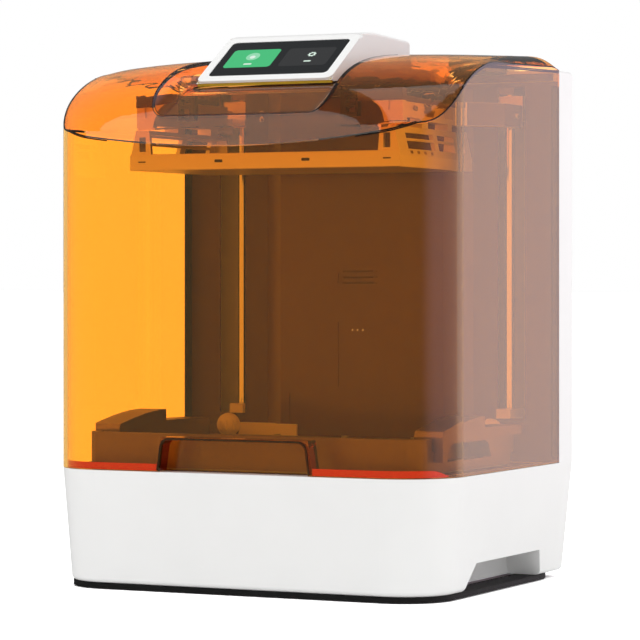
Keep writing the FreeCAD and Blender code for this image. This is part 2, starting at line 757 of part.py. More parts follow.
# Main board on standoffs, and the power supply
board_low = floor_top + STANDOFF_H
board_top = board_low + BOARD_T
board = around(BOARD_X, BOARD_Y, BOARD_HALF_X, BOARD_HALF_Y, board_low, board_top)
for sx in (1, -1):
    for sy in (1, -1):
        px = BOARD_X + sx * (BOARD_HALF_X - STANDOFF_IN)
        py = BOARD_Y + sy * (BOARD_HALF_Y - STANDOFF_IN)
        board = board.fuse(upright(STANDOFF_R, px, py, floor_top, board_low))
for dx, dy, hx, hy, height in ((-3, -2, 8, 8, 2.4), (-18, 0, 3, 20, 7.4), (14, -15, 5, 15, 4.4)):
    board = board.fuse(around(BOARD_X + dx, BOARD_Y + dy, hx, hy, board_top, board_top + height))
save("main_board", board.removeSplitter())
supply_top = floor_top + SUPPLY_H
supply = around(SUPPLY_X, SUPPLY_Y, SUPPLY_HALF_X, SUPPLY_HALF_Y, floor_top, supply_top)
for i in range(SUPPLY_SLOTS):
    y = SUPPLY_Y + (i - (SUPPLY_SLOTS - 1) / 2) * SUPPLY_SLOT_STEP
    supply = supply.cut(around(SUPPLY_X, y, SUPPLY_HALF_X - 6, SUPPLY_SLOT / 2,
                               supply_top - OVER, supply_top + OVER))
save("power_supply", supply)

# Vat with wide rims, a raised front lip, side wings over finger arches, rear lugs and a pouring spout
vat = plan_solid(VAT_HALF_X, VAT_Y0, VAT_Y1, VAT_CORNER_R, VAT_CORNER_R, VAT_Z0, RIM_TOP)
lip = plan_solid(VAT_HALF_X, VAT_Y0, VAT_Y1, VAT_CORNER_R, VAT_CORNER_R, VAT_Z0, VAT_TOP)
lip = lip.cut(plan_solid(VAT_HALF_X - LIP_T, VAT_Y0 + LIP_T, VAT_Y1, VAT_CORNER_R - LIP_T, VAT_CORNER_R - LIP_T,
                         RIM_TOP, VAT_TOP + OVER))
lip = lip.cut(box(-HALF_W, HALF_W, VAT_Y0 + LIP_RUN, REAR_Y, RIM_TOP, VAT_TOP + OVER))
well = plan_solid(VAT_IN_X, VAT_IN_Y0, VAT_IN_Y1, WELL_R, WELL_R, VAT_Z0 - OVER, VAT_TOP + OVER)
wing_outline = [(WING_Y0, WING_UNDER_Z), (WING_Y0, WING_FRONT_Z - 4.0)]
for i in range(9):
    share = i / 8.0
    y = WING_Y0 + 2.0 + share * (WING_Y1 - WING_Y0 - 2.0)
    wing_outline.append((y, WING_FRONT_Z + (WING_TOP_Z - WING_FRONT_Z) * math.sin(share * math.pi / 2)))
wing_outline.append((WING_Y1, WING_REAR_Z))
wing_outline.append((VAT_Y1 - WING_END_IN, WING_REAR_Z - 1.0))
wing_outline.append((VAT_Y1 - WING_END_IN, WING_UNDER_Z))
wing = side_prism(wing_outline, WING_IN_X, WING_OUT_X)
wing = wing.cut(box(VAT_HALF_X, WING_OUT_X + OVER, ARCH_Y1 + 8, VAT_Y1, WING_UNDER_Z - OVER, WING_REAR_Z - 8))
arch_outline = [(ARCH_Y0, WING_UNDER_Z - OVER), (ARCH_Y1, WING_UNDER_Z - OVER), (ARCH_Y1 - 6, ARCH_TOP_Z - 2),
                (ARCH_Y1 - 12, ARCH_TOP_Z), (ARCH_Y0 + 12, ARCH_TOP_Z), (ARCH_Y0 + 6, ARCH_TOP_Z - 2)]
arch = side_prism(arch_outline, VAT_HALF_X - ARCH_DEPTH, WING_OUT_X + OVER)
vat = vat.fuse(lip).fuse(wing).fuse(mirrored(wing))
vat = vat.cut(arch).cut(mirrored(arch)).cut(well)
lug_top = BASE_TOP + LUG_T
lug = box(KNOB_X - LUG_HALF, KNOB_X + LUG_HALF, VAT_Y1 - LUG_ROOT, VAT_Y1 + LUG_REACH, BASE_TOP, lug_top)
lug = lug.cut(box(KNOB_X - LUG_SLOT / 2, KNOB_X + LUG_SLOT / 2, KNOB_Y, VAT_Y1 + LUG_REACH + OVER,
                  BASE_TOP - OVER, lug_top + OVER))
lug = lug.cut(upright(LUG_SLOT / 2, KNOB_X, KNOB_Y, BASE_TOP - OVER, lug_top + OVER))
lug = lug.cut(box(-HALF_W, HALF_W, VAT_Y0, VAT_Y1 - RING_IN / 2, BASE_TOP - OVER, VAT_Z0))
vat = vat.fuse(lug).fuse(mirrored(lug)).removeSplitter()
spout_at = V(-VAT_IN_X + 6, VAT_IN_Y1 - 4, RIM_TOP + 2)
spout = Part.makeCone(SPOUT_R, SPOUT_TIP_R, SPOUT_R, spout_at, V(0, 0, -1))
save("vat_body", vat.cut(spout.common(box(-WING_IN_X, HALF_W, 0, VAT_Y1 - 3, 0, TOWER_TOP))))
film_r = VAT_CORNER_R - 2.0
film = plan_solid(VAT_HALF_X - FILM_IN, VAT_Y0 + FILM_IN, VAT_Y1 - FILM_IN, film_r, film_r, FILM_Z0, VAT_Z0)
save("release_film", film)
ring = plan_solid(VAT_HALF_X - RING_IN, VAT_Y0 + RING_IN, VAT_Y1 - RING_IN, film_r, film_r, BASE_TOP, FILM_Z0)
ring_hole = plan_solid(VAT_IN_X, VAT_IN_Y0, VAT_IN_Y1, WELL_R, WELL_R, BASE_TOP - OVER, FILM_Z0 + OVER)
save("film_ring", ring.cut(ring_hole))
heads = []
for x in (-VAT_SCREW_STEP, 0.0, VAT_SCREW_STEP):
    for y in (VAT_Y0 + VAT_RIM_Y / 2, VAT_Y1 - VAT_RIM_Y / 2):
        head = upright(VAT_SCREW_R, x, y, RIM_TOP, RIM_TOP + VAT_SCREW_H)
        head = head.cut(around(x, y, VAT_SCREW_R * 0.73, VAT_SCREW_SLOT / 2, RIM_TOP + VAT_SCREW_H / 2,
                               RIM_TOP + VAT_SCREW_H + OVER))
        heads.append(head)
save("vat_screws", Part.makeCompound(heads))

# Vat knobs on studs behind the vat
washer_z = lug_top + BODY_GAP
knob_top = washer_z + KNOB_H
stud_top = knob_top - KNOB_CROWN
save_both("vat_studs", upright(KNOB_STUD_R, KNOB_X, KNOB_Y, deck_z0, stud_top))
knob = upright(KNOB_WASHER_R, KNOB_X, KNOB_Y, washer_z, washer_z + KNOB_WASHER_T)
knob = knob.fuse(upright(KNOB_NECK_R, KNOB_X, KNOB_Y, washer_z, knob_top - KNOB_R))
knob = knob.fuse(Part.makeSphere(KNOB_R, V(KNOB_X, KNOB_Y, knob_top - KNOB_R)))
for i in range(KNOB_GRIPS):
    a = 2 * math.pi * i / KNOB_GRIPS
    gx = KNOB_X + (KNOB_R + KNOB_GRIP_OUT) * math.cos(a)
    gy = KNOB_Y + (KNOB_R + KNOB_GRIP_OUT) * math.sin(a)
    knob = knob.cut(upright(KNOB_GRIP_R, gx, gy, washer_z + KNOB_WASHER_T, knob_top))
knob = knob.cut(upright(KNOB_STUD_R + KNOB_FIT, KNOB_X, KNOB_Y, washer_z - OVER, stud_top + BODY_GAP))
save_pair("vat_knob", knob)

# Tower shell, open to the front, closed at the sides, back and top
front_room = 40.0
tower = plan_solid(HALF_W, TOWER_Y0 - front_room, REAR_Y, 2.0, REAR_R, BASE_TOP, TOWER_TOP)
tower = rounded(tower, TOWER_EDGE_R, lambda e: e.BoundBox.ZMin > TOWER_TOP - 0.01)
tower = tower.cut(box(-HALF_W - OVER, HALF_W + OVER, FRONT_Y, TOWER_Y0, 0, TOWER_TOP + OVER))
cavity = plan_solid(HALF_W - TOWER_WALL, TOWER_Y0 - front_room, REAR_INSIDE, 2.0, REAR_R - TOWER_WALL,
                    BASE_TOP - OVER, ROD_Z1)
tower = tower.cut(cavity)
pocket = box(KNUCKLE_X0 - EAR_GAP, KNUCKLE_X1 + EAR_GAP, TOWER_Y0 - OVER, HINGE_Y + KNUCKLE_R + POCKET_GAP,
             TOWER_TOP - POCKET_DEEP, TOWER_TOP + KNUCKLE_R)
tower = tower.cut(pocket).cut(mirrored(pocket))
for i in range(TOWER_SLITS):
    z = TOWER_SLIT_Z + i * TOWER_SLIT_STEP
    tower = tower.cut(box(-TOWER_SLIT_X, TOWER_SLIT_X, REAR_INSIDE - OVER, REAR_Y + OVER, z, z + TOWER_SLIT))
save("tower_shell", tower)

# Front panel of the tower with its two tall slots
panel_x = HALF_W - TOWER_WALL
panel = box(-panel_x, panel_x, TOWER_Y0, PANEL_BACK, BASE_TOP, ROD_Z1)
slot = box(SLOT_X0, SLOT_X1, TOWER_Y0 - OVER, PANEL_BACK + OVER, SLOT_Z0, SLOT_Z1)
save("tower_panel", panel.cut(slot).cut(mirrored(slot)))


# Raised middle cover with chamfered sides and shallow sensor windows
def cover_outline(inset, back):
    y_face = TOWER_Y0 - COVER_RISE + inset
    half = COVER_X - inset * 0.5
    foot = COVER_FOOT_X - inset * 1.8
    return [(-foot, back), (-half, y_face), (half, y_face), (foot, back)]


cover_block = plan_prism(cover_outline(0.0, TOWER_Y0), COVER_Z0, COVER_Z1)
cover = cover_block.cut(plan_prism(cover_outline(COVER_WALL, TOWER_Y0 + OVER), COVER_Z0 + COVER_CAP,
                                   COVER_Z1 - COVER_CAP))
face_y = TOWER_Y0 - COVER_RISE
windows = [(WINDOW_X0, WINDOW_X1, 139.8, 9.0), (WINDOW_X0, WINDOW_X1 + 5, 96.8, 12.0),
           (WINDOW_X0, WINDOW_X0 + 5.5, 56.8, 40.0), (-66.0, -56.0, 20.8, 30.0)]
for x0, x1, lift, height in windows:
    z0 = BASE_TOP + lift
    cover = cover.cut(box(x0, x1, face_y - OVER, face_y + WINDOW_DEEP, z0, z0 + height))
save("column_cover", cover)

# Low bars at the foot of the panel, each beside its rod foot
bar_x1 = SLOT_X0 + 3
foot_bar = box(BAR_X0, bar_x1, TOWER_Y0 - BAR_DEEP, TOWER_Y0, BAR_Z0, BAR_Z0 + BAR_H).cut(cover_block)
foot_bar = foot_bar.fuse(box(COVER_FOOT_X, bar_x1, TOWER_Y0 - BAR_BACK, TOWER_Y0, BASE_TOP, BAR_Z0 + BAR_H))
save_both("panel_bars", foot_bar.removeSplitter())

# Guide rods between foot blocks and a head bar that also holds the screw
save_both("guide_rods", upright(ROD_R, ROD_X, ROD_Y, ROD_Z0, ROD_Z1))
foot_block = box(ROD_X - ROD_BLOCK_HALF, ROD_X + ROD_BLOCK_HALF, PANEL_BACK, REAR_INSIDE,
                 ROD_Z0, ROD_FOOT_TOP)
foot_block = foot_block.cut(box(ROD_LEDGE_X1, HALF_W, PANEL_BACK, REAR_INSIDE, SLOT_Z0, ROD_FOOT_TOP + OVER))
foot_block = foot_block.fuse(box(SLOT_X0 + DECK_CLEAR, ROD_LEDGE_X1, TOWER_Y0 - ROD_LEDGE_RUN, PANEL_BACK,
                                 ROD_FOOT_TOP - ROD_LEDGE_H, ROD_FOOT_TOP))
foot_block = foot_block.cut(upright(ROD_R, ROD_X, ROD_Y, ROD_Z0 - OVER, ROD_FOOT_TOP + OVER))
save_both("rod_feet", foot_block.removeSplitter())
head_x = ROD_X + ROD_BLOCK_HALF
head_low = ROD_Z1 - ROD_HEAD_H
head_bar = box(-head_x, head_x, PANEL_BACK, REAR_INSIDE, head_low, ROD_Z1)
for x, y, r in ((-ROD_X, ROD_Y, ROD_R), (ROD_X, ROD_Y, ROD_R), (0, SCREW_Y, SCREW_R + SCREW_FIT)):
    head_bar = head_bar.cut(upright(r, x, y, head_low - OVER, ROD_Z1 + OVER))
save("head_bar", head_bar)

# Motor on its bracket, coupling and lead screw
m = MOTOR_SIZE / 2
motor_low = MOTOR_TOP - MOTOR_LEN
motor = around(0, SCREW_Y, m, m, motor_low, MOTOR_TOP)
motor = rounded(motor, MOTOR_CORNER_R, lambda e: e.BoundBox.ZLength > MOTOR_LEN - OVER)
save("z_motor", motor.cut(upright(SCREW_R + OVER, 0, SCREW_Y, MOTOR_TOP - MOTOR_SEAT, MOTOR_TOP + OVER)))
bracket_x = m + BRACKET_OUT
bracket_y1 = SCREW_Y + m - BRACKET_SHORT
bracket = box(-bracket_x, bracket_x, SCREW_Y - m, bracket_y1, motor_low - BRACKET_T, motor_low)
leg = box(m + BRACKET_OUT - BRACKET_T, bracket_x, SCREW_Y - m, bracket_y1, floor_top, motor_low)
save("motor_bracket", bracket.fuse(leg).fuse(mirrored(leg)).removeSplitter())
screw = upright(SCREW_R, 0, SCREW_Y, MOTOR_TOP + BODY_GAP, ROD_Z1 - OVER)
thread_low = BASE_TOP + 5.8
turns = int((ROD_Z1 - SCREW_PLAIN - thread_low) / SCREW_LEAD)
for i in range(turns):
    z = thread_low + i * SCREW_LEAD
    groove = upright(SCREW_R + OVER, 0, SCREW_Y, z, z + SCREW_GROOVE_W)
    groove = groove.cut(upright(SCREW_R - SCREW_GROOVE, 0, SCREW_Y, z - OVER, z + SCREW_GROOVE_W + OVER))
    screw = screw.cut(groove)
save("lead_screw", screw)
coupler_low = MOTOR_TOP + COUPLER_LIFT
coupler = upright(COUPLER_R, 0, SCREW_Y, coupler_low, coupler_low + COUPLER_H)
for i in range(COUPLER_SLITS):
    z = coupler_low + COUPLER_H / 2 + (i - (COUPLER_SLITS - 1) / 2) * COUPLER_SLIT_STEP
    slit = upright(COUPLER_R + OVER, 0, SCREW_Y, z, z + COUPLER_SLIT)
    coupler = coupler.cut(slit.cut(upright(COUPLER_CORE_R, 0, SCREW_Y, z - OVER, z + COUPLER_SLIT + OVER)))
coupler = coupler.cut(upright(SCREW_R, 0, SCREW_Y, coupler_low - OVER, coupler_low + COUPLER_H + OVER))
save("screw_coupling", coupler)

# Carriage beam behind the panel, with its bushings and nut
beam = box(-BEAM_X, BEAM_X, BEAM_Y0, BEAM_Y1, BEAM_Z0, BEAM_Z1)
beam_pocket = box(BEAM_POCKET_X0, BEAM_POCKET_X1, BEAM_Y0 + BEAM_WALL, BEAM_Y1 + OVER,
                  BEAM_Z0 + BEAM_WALL, BEAM_Z1 - BEAM_WALL)
beam = beam.cut(beam_pocket).cut(mirrored(beam_pocket))
for x, y, r in ((-ROD_X, ROD_Y, BUSH_R), (ROD_X, ROD_Y, BUSH_R), (0, SCREW_Y, NUT_R)):
    beam = beam.cut(upright(r, x, y, BEAM_Z0 - OVER, BEAM_Z1 + OVER))
save("carriage_beam", beam)
bush = upright(BUSH_R, ROD_X, ROD_Y, BEAM_Z0 - BUSH_OVER, BEAM_Z1 + BUSH_OVER)
bush = bush.cut(upright(ROD_R + BUSH_FIT, ROD_X, ROD_Y, BEAM_Z0 - 2 * OVER, BEAM_Z1 + 2 * OVER))
save_both("rod_bushings", bush)
flange_z = BEAM_Z0 - NUT_FLANGE_T
nut = upright(NUT_R, 0, SCREW_Y, BEAM_Z0, BEAM_Z1)
nut = nut.fuse(around(0, SCREW_Y, NUT_FLANGE_X / 2, NUT_FLANGE_Y / 2, flange_z, BEAM_Z0))
nut = nut.cut(upright(SCREW_R + SCREW_FIT, 0, SCREW_Y, flange_z - OVER, BEAM_Z1 + OVER))
save("lead_nut", nut.removeSplitter())

# Arms through the slots to rails above the platform ends
arm_plan = [(ARM_IN, BEAM_Y0), (ARM_OUT, BEAM_Y0), (ARM_OUT, ARM_JOG_Y0), (ARM_RAIL_X1, ARM_JOG_Y1),
            (ARM_RAIL_X1, ARM_FRONT_Y), (ARM_RAIL_X0, ARM_FRONT_Y), (ARM_RAIL_X0, ARM_JOG_Y1 + 6),
            (ARM_IN, ARM_JOG_Y0 + 8)]
arm = plan_prism(arm_plan, ARM_Z0, ARM_Z1)
for pad_y, relief_y0, relief_y1 in ((PAD_FRONT_Y, PAD_FRONT_Y, PAD_FRONT_Y + 16),
                                    (PAD_REAR_Y, PAD_REAR_Y - 18, PAD_REAR_Y + 16)):
    arm = arm.cut(box(ARM_RAIL_X0 + ARM_RELIEF, ARM_RAIL_X1 + OVER, relief_y0, relief_y1,
                      ARM_Z0 + ARM_RELIEF_LOW, ARM_Z1 - ARM_RELIEF_TOP))
    arm = arm.fuse(box(ARM_RAIL_X0, ARM_RAIL_X1, pad_y, pad_y + PAD_LEN, END_TOP, ARM_Z0))
arm = arm.fuse(upright(LEVER_PIN_R, LEVER_X, LEVER_Y, ARM_Z1, ARM_Z1 + LEVER_T + LEVER_PIN_OVER))
save_both("platform_arms", arm.removeSplitter())

# Gusset plates at the front of the arms, ending in three-fingered clips
gusset_x1 = ARM_RAIL_X1 + GUSSET_OUT
gusset_low = END_TOP + GUSSET_LIFT
gusset_face = ARM_FRONT_Y - GUSSET_T
gusset = [(gusset_x1, gusset_low), (gusset_x1, GUSSET_TOP), (GUSSET_IN_X, GUSSET_TOP)]
gusset.append((GUSSET_IN_X, GUSSET_TOP - GUSSET_TIP))
for i in range(GUSSET_STEPS):
    a = math.pi / 2 * (1 - i / (GUSSET_STEPS - 1))
    rise = (GUSSET_TOP - GUSSET_TIP - 1 - gusset_low) * math.sin(a)
    gusset.append((GUSSET_IN_X + GUSSET_SWEEP_IN + GUSSET_SWEEP * math.cos(a), gusset_low + rise))
plate = front_prism(gusset, gusset_face, ARM_FRONT_Y)
plate = plate.cut(box(ARM_RAIL_X1 - 9, ARM_RAIL_X1 - 5, gusset_face - OVER, gusset_face + 1.2,
                      GUSSET_TOP - 16, GUSSET_TOP - 5))
save_both("arm_gussets", plate)
clip_top = GUSSET_TOP - 1
clip_x0 = GUSSET_IN_X - CLIP_LEN
clip = box(clip_x0, GUSSET_IN_X, gusset_face, ARM_FRONT_Y, CLIP_Z0, clip_top)
clip_step = (clip_top - CLIP_Z0 - CLIP_FINGER) / 2.0
for i in range(2):
    z = CLIP_Z0 + CLIP_FINGER + i * clip_step
    clip = clip.cut(box(clip_x0 + CLIP_ROOT, GUSSET_IN_X - CLIP_TIP, gusset_face - OVER, ARM_FRONT_Y + OVER,
                        z, z + clip_step - CLIP_FINGER))
save_both("arm_clips", clip)

# Quick-release levers on the arms
lever_z0 = ARM_Z1 + BODY_GAP
lever_z1 = lever_z0 + LEVER_T
lever_tip = LEVER_Y + LEVER_LEN
half_root = LEVER_W / 2
half_tip = half_root - LEVER_TAPER
lever = upright(LEVER_BOSS_R, LEVER_X, LEVER_Y, lever_z0, lever_z1)
lever_plan = [(LEVER_X - half_root, LEVER_Y), (LEVER_X + half_root, LEVER_Y),
              (LEVER_X + half_tip, lever_tip), (LEVER_X - half_tip, lever_tip)]
lever = lever.fuse(plan_prism(lever_plan, lever_z0, lever_z1))
lever = lever.fuse(upright(half_root, LEVER_X, lever_tip, lever_z0, lever_z1 + LEVER_KNOB_H))
lever = lever.cut(upright(LEVER_PIN_R + LEVER_FIT, LEVER_X, LEVER_Y, lever_z0 - OVER, lever_z1 + OVER))
save_pair("release_lever", lever.removeSplitter())

# Build plate with a slotted front band, an upper rim and ribs
core_z = PLATE_Z0 + PLATE_CORE
build = box(-PLATE_X, PLATE_X, PLATE_Y0, PLATE_Y1, PLATE_Z0, PLATE_TOP)
build = build.cut(box(-END_X0, END_X0, PLATE_Y0 + PLATE_RIM, PLATE_Y1 - PLATE_RIM, core_z, PLATE_TOP + OVER))
for i in range(4):
    x = (i - 1.5) * DASH_STEP
    build = build.cut(box(x - DASH_LEN / 2, x + DASH_LEN / 2, PLATE_Y0 - OVER, PLATE_Y0 + DASH_DEPTH,
                          PLATE_Z0 + DASH_LIFT, PLATE_Z0 + DASH_LIFT + DASH_H))
    x = (i - 1.5) * PLATE_RIB_STEP
    build = build.fuse(box(x - PLATE_RIB / 2, x + PLATE_RIB / 2, PLATE_Y0 + PLATE_RIM, PLATE_Y1 - PLATE_RIM,
                           PLATE_Z0, PLATE_TOP - PLATE_RIB_LOW))
save("build_plate", build.removeSplitter())

# End frames on the build plate: leaning walls with windows under a flat top
end_face = [(END_X0, PLATE_TOP), (PLATE_X, PLATE_TOP), (PLATE_X - END_LEAN, END_TOP),
            (END_X0 + END_FOOT_IN, END_TOP)]
end = front_prism(end_face, PLATE_Y0, PLATE_Y1)
core_top = END_TOP - END_TOP_T
core = [(END_X0 - END_WALL, PLATE_TOP - OVER), (PLATE_X - END_WALL, PLATE_TOP - OVER),
        (PLATE_X - END_LEAN - END_WALL, core_top), (END_X0 - END_WALL, core_top)]
end = end.cut(front_prism(core, PLATE_Y0 + END_WALL, PLATE_Y1 - END_WALL))
for drop, height in ((8.5, 4.0), (16.5, 6.0)):
    for y0, y1 in ((PLATE_Y0 + 17.5, PLATE_Y0 + 69.5), (PLATE_Y0 + 77.5, PLATE_Y1 - 11.0)):
        z0 = END_TOP - drop
        end = end.cut(box(PLATE_X - 14, PLATE_X + OVER, y0, y1, z0, z0 + height))
for i in range(4):
    y = PLATE_Y0 + 19.5 + i * 13.0
    end = end.cut(box(PLATE_X - 6, PLATE_X + OVER, y, y + 5.0, PLATE_TOP + 1.6, PLATE_TOP + 3.8))
end = end.cut(box(END_X0 + 5, PLATE_X - 8, PLATE_Y0 - OVER, PLATE_Y0 + END_WALL + OVER,
                  END_TOP - 16, END_TOP - 5))
save_both("platform_ends", end)


# Lid surfaces: the seam line between wall and roof, and the roof crown
def seam_height(x, y):
    t = y - FRONT_Y
    smile = SEAM_SMILE * (x / HALF_W) ** 2
    sweep = SEAM_RISE / (1.0 + math.exp((SEAM_MID - t) / SEAM_LEN))
    return SEAM_FRONT_Z + smile + sweep + SEAM_SLOPE * t


def crown_height(t):
    nose = ROOF_NOSE * (1.0 - math.exp(-t / ROOF_NOSE_LEN))
    roll = ROOF_ROLL * (1.0 - math.exp(-t / ROOF_ROLL_LEN))
    return ROOF_FRONT_Z + nose + roll + ROOF_SLOPE * t


def roof_height(x, y):
    t = y - FRONT_Y
    bow = BROW_BOW * (abs(x) / HALF_W) ** BROW_BOW_POWER
    crown = crown_height(t - bow * (1.0 - math.exp(-t / BROW_BOW_LEN)))
    side = max(0.0, 1.0 - (HALF_W - abs(x)) / ROLL_W)
    rear = max(0.0, 1.0 - (LID_REAR_Y - y) / REAR_ROLL_W)
    spare = max(0.0, crown - ROOF_ARCH - seam_height(HALF_W, y) - ROLL_LIP)
    rear_fall = REAR_DROP * rear ** 2 * (1.0 - (1.0 - REAR_DROP_SIDE) * min(side, 1.0))
    return crown - ROOF_ARCH * (x / HALF_W) ** 2 - spare * side ** 2 - rear_fall


def sheet(height, lift, shift):
    """Smooth surface through the heights, moved up by lift and back by shift."""
    edge_steps = [-5, 0, 4, 9, 16, 25, 45, 85, 125]
    right = [HALF_W - step for step in edge_steps]
    xs = [-x for x in right] + [0.0] + right[::-1]
    lid_depth = LID_REAR_Y - FRONT_Y
    ts = [-6, -3, 0, 3, 6, 10, 15, 20, 25, 30, 35, 40, 46, 54, 64, 80, 100, 130]
    ts += [lid_depth - step for step in (74.3, 44.3, 24.3, 15.3, 10.3, 5.3, 0.3, -5.7)]
    rows = []
    for x in xs:
        rows.append([V(x, FRONT_Y + t + shift, height(x, FRONT_Y + t) + lift) for t in ts])
    surface = Part.BSplineSurface()
    surface.interpolate(rows)
    return surface.toShape()


def below(height, lift, shift):
    return sheet(height, lift, shift).extrude(V(0, 0, -TOWER_TOP))


# Display bay: a rounded trough that runs from the brow to the back of the roof
def bay_tool(grow):
    rise_front = (BAY_KNEE_Z - BAY_FRONT_Z) / (BAY_KNEE_Y - BAY_FRONT_Y)
    rise_rear = (BAY_REAR_Z - BAY_KNEE_Z) / (LID_REAR_Y - BAY_KNEE_Y)
    a = V(0, BAY_FRONT_Y - BAY_OVER, BAY_FRONT_Z - rise_front * BAY_OVER - grow)
    k = V(0, BAY_KNEE_Y, BAY_KNEE_Z - grow)
    e = V(0, LID_REAR_Y + BAY_OVER, BAY_REAR_Z + rise_rear * BAY_OVER - grow)
    d1 = (k - a).normalize()
    d2 = (e - k).normalize()
    turn = d1.getAngle(d2)
    reach = BAY_BEND_R * math.tan(turn / 2)
    p1 = k - V(d1).multiply(reach)
    p2 = k + V(d2).multiply(reach)
    bisect = (V(d2) - V(d1)).normalize()
    middle = k + bisect.multiply(BAY_BEND_R * (1 / math.cos(turn / 2) - 1))
    high = POD_TOP_Z + BAY_OVER
    edges = [Part.makeLine(a, p1), Part.Arc(p1, middle, p2).toShape(), Part.makeLine(p2, e)]
    edges.append(Part.makeLine(e, V(0, e.y, high)))
    edges.append(Part.makeLine(V(0, e.y, high), V(0, a.y, high)))
    edges.append(Part.makeLine(V(0, a.y, high), a))
    face = Part.Face(Part.Wire(edges))
    half = BAY_X + grow
    face.translate(V(-half, 0, 0))
    tool = face.extrude(V(2 * half, 0, 0))

    def on_floor(edge):
        mid = edge_mid(edge)
        long_way = edge.BoundBox.YLength > 10 and mid.z < high - OVER
        return long_way and abs(abs(mid.x) - half) < 0.01

    return rounded(tool, BAY_R + grow, on_floor)


# Lid shell: one hollow form, split by the seam into wall, strip and roof
lid_high = POD_TOP_Z + BAY_OVER
rear_trim = box(-HALF_W - OVER, HALF_W + OVER, LID_REAR_Y, LID_REAR_Y + 100, 0, lid_high + OVER)


def lid_form(inset, z0, z1):
    form = plan_solid(HALF_W - inset, FRONT_Y + inset, LID_REAR_Y + 60, CORNER_R - inset, 2.0, z0, z1)
    return form.cut(rear_trim) if inset == 0 else form


roof_void = lid_form(LID_T, LID_Z0 - OVER, lid_high).common(below(roof_height, -ROOF_T, ROOF_T))
roof_void = roof_void.cut(bay_tool(ROOF_T))
lid_shell = lid_form(0.0, LID_Z0, lid_high).common(below(roof_height, 0.0, 0.0))
lid_shell = lid_shell.cut(bay_tool(0.0)).cut(roof_void)
notch = box(-NOTCH_X, NOTCH_X, NOTCH_Y, LID_REAR_Y + OVER, BAY_FRONT_Z - BAY_OVER, lid_high)
notch = rounded(notch, NOTCH_R, lambda e: e.BoundBox.ZLength > 50 and abs(edge_mid(e).y - NOTCH_Y) < 0.01)
lid_shell = lid_shell.cut(notch)
under_seam = below(seam_height, 0.0, 0.0)
under_strip = below(seam_height, STRIP_H, 0.0)
roof = lid_shell.cut(under_strip)
save("lid_roof", roof)
save("lid_seam_strip", lid_shell.common(under_strip).cut(under_seam))


# Finger grip: a window in the lid wall with a scoop behind it
def grip_corner(edge):
    return abs(edge_mid(edge).z - GRIP_TOP) < 0.01 and edge.BoundBox.YLength > 2.0


def grip_outline(grow, low):
    return [(-GRIP_X0 - grow, low), (GRIP_X0 + grow, low), (GRIP_X1 + grow, GRIP_TOP + grow),
            (-GRIP_X1 - grow, GRIP_TOP + grow)]


scoop_y0 = FRONT_Y + LID_T
scoop_y1 = scoop_y0 + GRIP_DEPTH
grip_cut = front_prism(grip_outline(0.0, LID_Z0 - OVER), FRONT_Y - OVER, scoop_y0 + OVER)
save("lid_wall", lid_shell.common(under_seam).cut(rounded(grip_cut, GRIP_R, grip_corner)))
scoop = front_prism(grip_outline(GRIP_T, LID_Z0), scoop_y0, scoop_y1)
scoop_void = front_prism(grip_outline(0.0, LID_Z0 - OVER), scoop_y0 - OVER, scoop_y1 - GRIP_T)
save("lid_grip", scoop.cut(rounded(scoop_void, GRIP_R, grip_corner)))

# Rim inside the lid's lower edge, open at the grip
rim = lid_form(LID_T, LID_Z0, LID_Z0 + RIM_H).cut(lid_form(RIM_W, LID_Z0 - OVER, LID_Z0 + RIM_H + OVER))
rim = rim.cut(rear_trim)
rim_gap = GRIP_X0 + GRIP_T
save("lid_rim", rim.cut(box(-rim_gap, rim_gap, FRONT_Y, scoop_y1, LID_Z0 - OVER, GRIP_TOP)))

# Hinge: leaves with knuckles on the lid, ears and pins on the tower
leaf_top = roof_height((KNUCKLE_X0 + KNUCKLE_X1) / 2, LID_REAR_Y) - ROOF_T - LEAF_DROP
leaf_low = leaf_top - LEAF_T
leaf = side_prism([(LEAF_Y0, leaf_low), (HINGE_Y, leaf_low), (HINGE_Y + KNUCKLE_R, HINGE_Z),
                   (HINGE_Y - KNUCKLE_R, HINGE_Z), (HINGE_Y - KNUCKLE_R, leaf_top), (LEAF_Y0, leaf_top)],
                  KNUCKLE_X0, KNUCKLE_X1)
leaf_rib = box(KNUCKLE_X0, KNUCKLE_X1, LEAF_Y0, LID_REAR_Y - 2, leaf_top - OVER, lid_high).common(roof_void)
leaf = leaf.fuse(leaf_rib).fuse(cross_rod(KNUCKLE_R, KNUCKLE_X0, KNUCKLE_X1, HINGE_Y, HINGE_Z)).cut(roof)
ear_x0 = KNUCKLE_X0 - EAR_GAP - EAR_T
ear_x1 = KNUCKLE_X1 + EAR_GAP + EAR_T
leaf = leaf.cut(cross_rod(HINGE_PIN_R + HINGE_FIT, ear_x0, ear_x1, HINGE_Y, HINGE_Z))
save_both("hinge_leaves", leaf.removeSplitter())
pin = cross_rod(HINGE_PIN_R, ear_x0, ear_x1, HINGE_Y, HINGE_Z)
save_both("hinge_pins", pin)
ears = []
for x0 in (ear_x0, KNUCKLE_X1 + EAR_GAP):
    ear = cross_rod(KNUCKLE_R, x0, x0 + EAR_T, HINGE_Y, HINGE_Z)
    ear = ear.fuse(box(x0, x0 + EAR_T, HINGE_Y - KNUCKLE_R, HINGE_Y + KNUCKLE_R, TOWER_TOP, HINGE_Z))
    ears.append(ear.cut(pin).removeSplitter())
save("hinge_ears", Part.makeCompound(ears + [mirrored(ear) for ear in ears]))

# Display pod: a wedge on a neck, with its own bezel, glass, module and lower trim
tilt = math.atan2(POD_RISE, POD_RUN)
face_len = math.hypot(POD_RISE, POD_RUN)


def tilted(shape):
    placed = shape.copy()
    placed.rotate(V(0, 0, 0), V(1, 0, 0), math.degrees(tilt))
    placed.translate(V(0, POD_LOW_Y, POD_LOW_Z))
    return placed


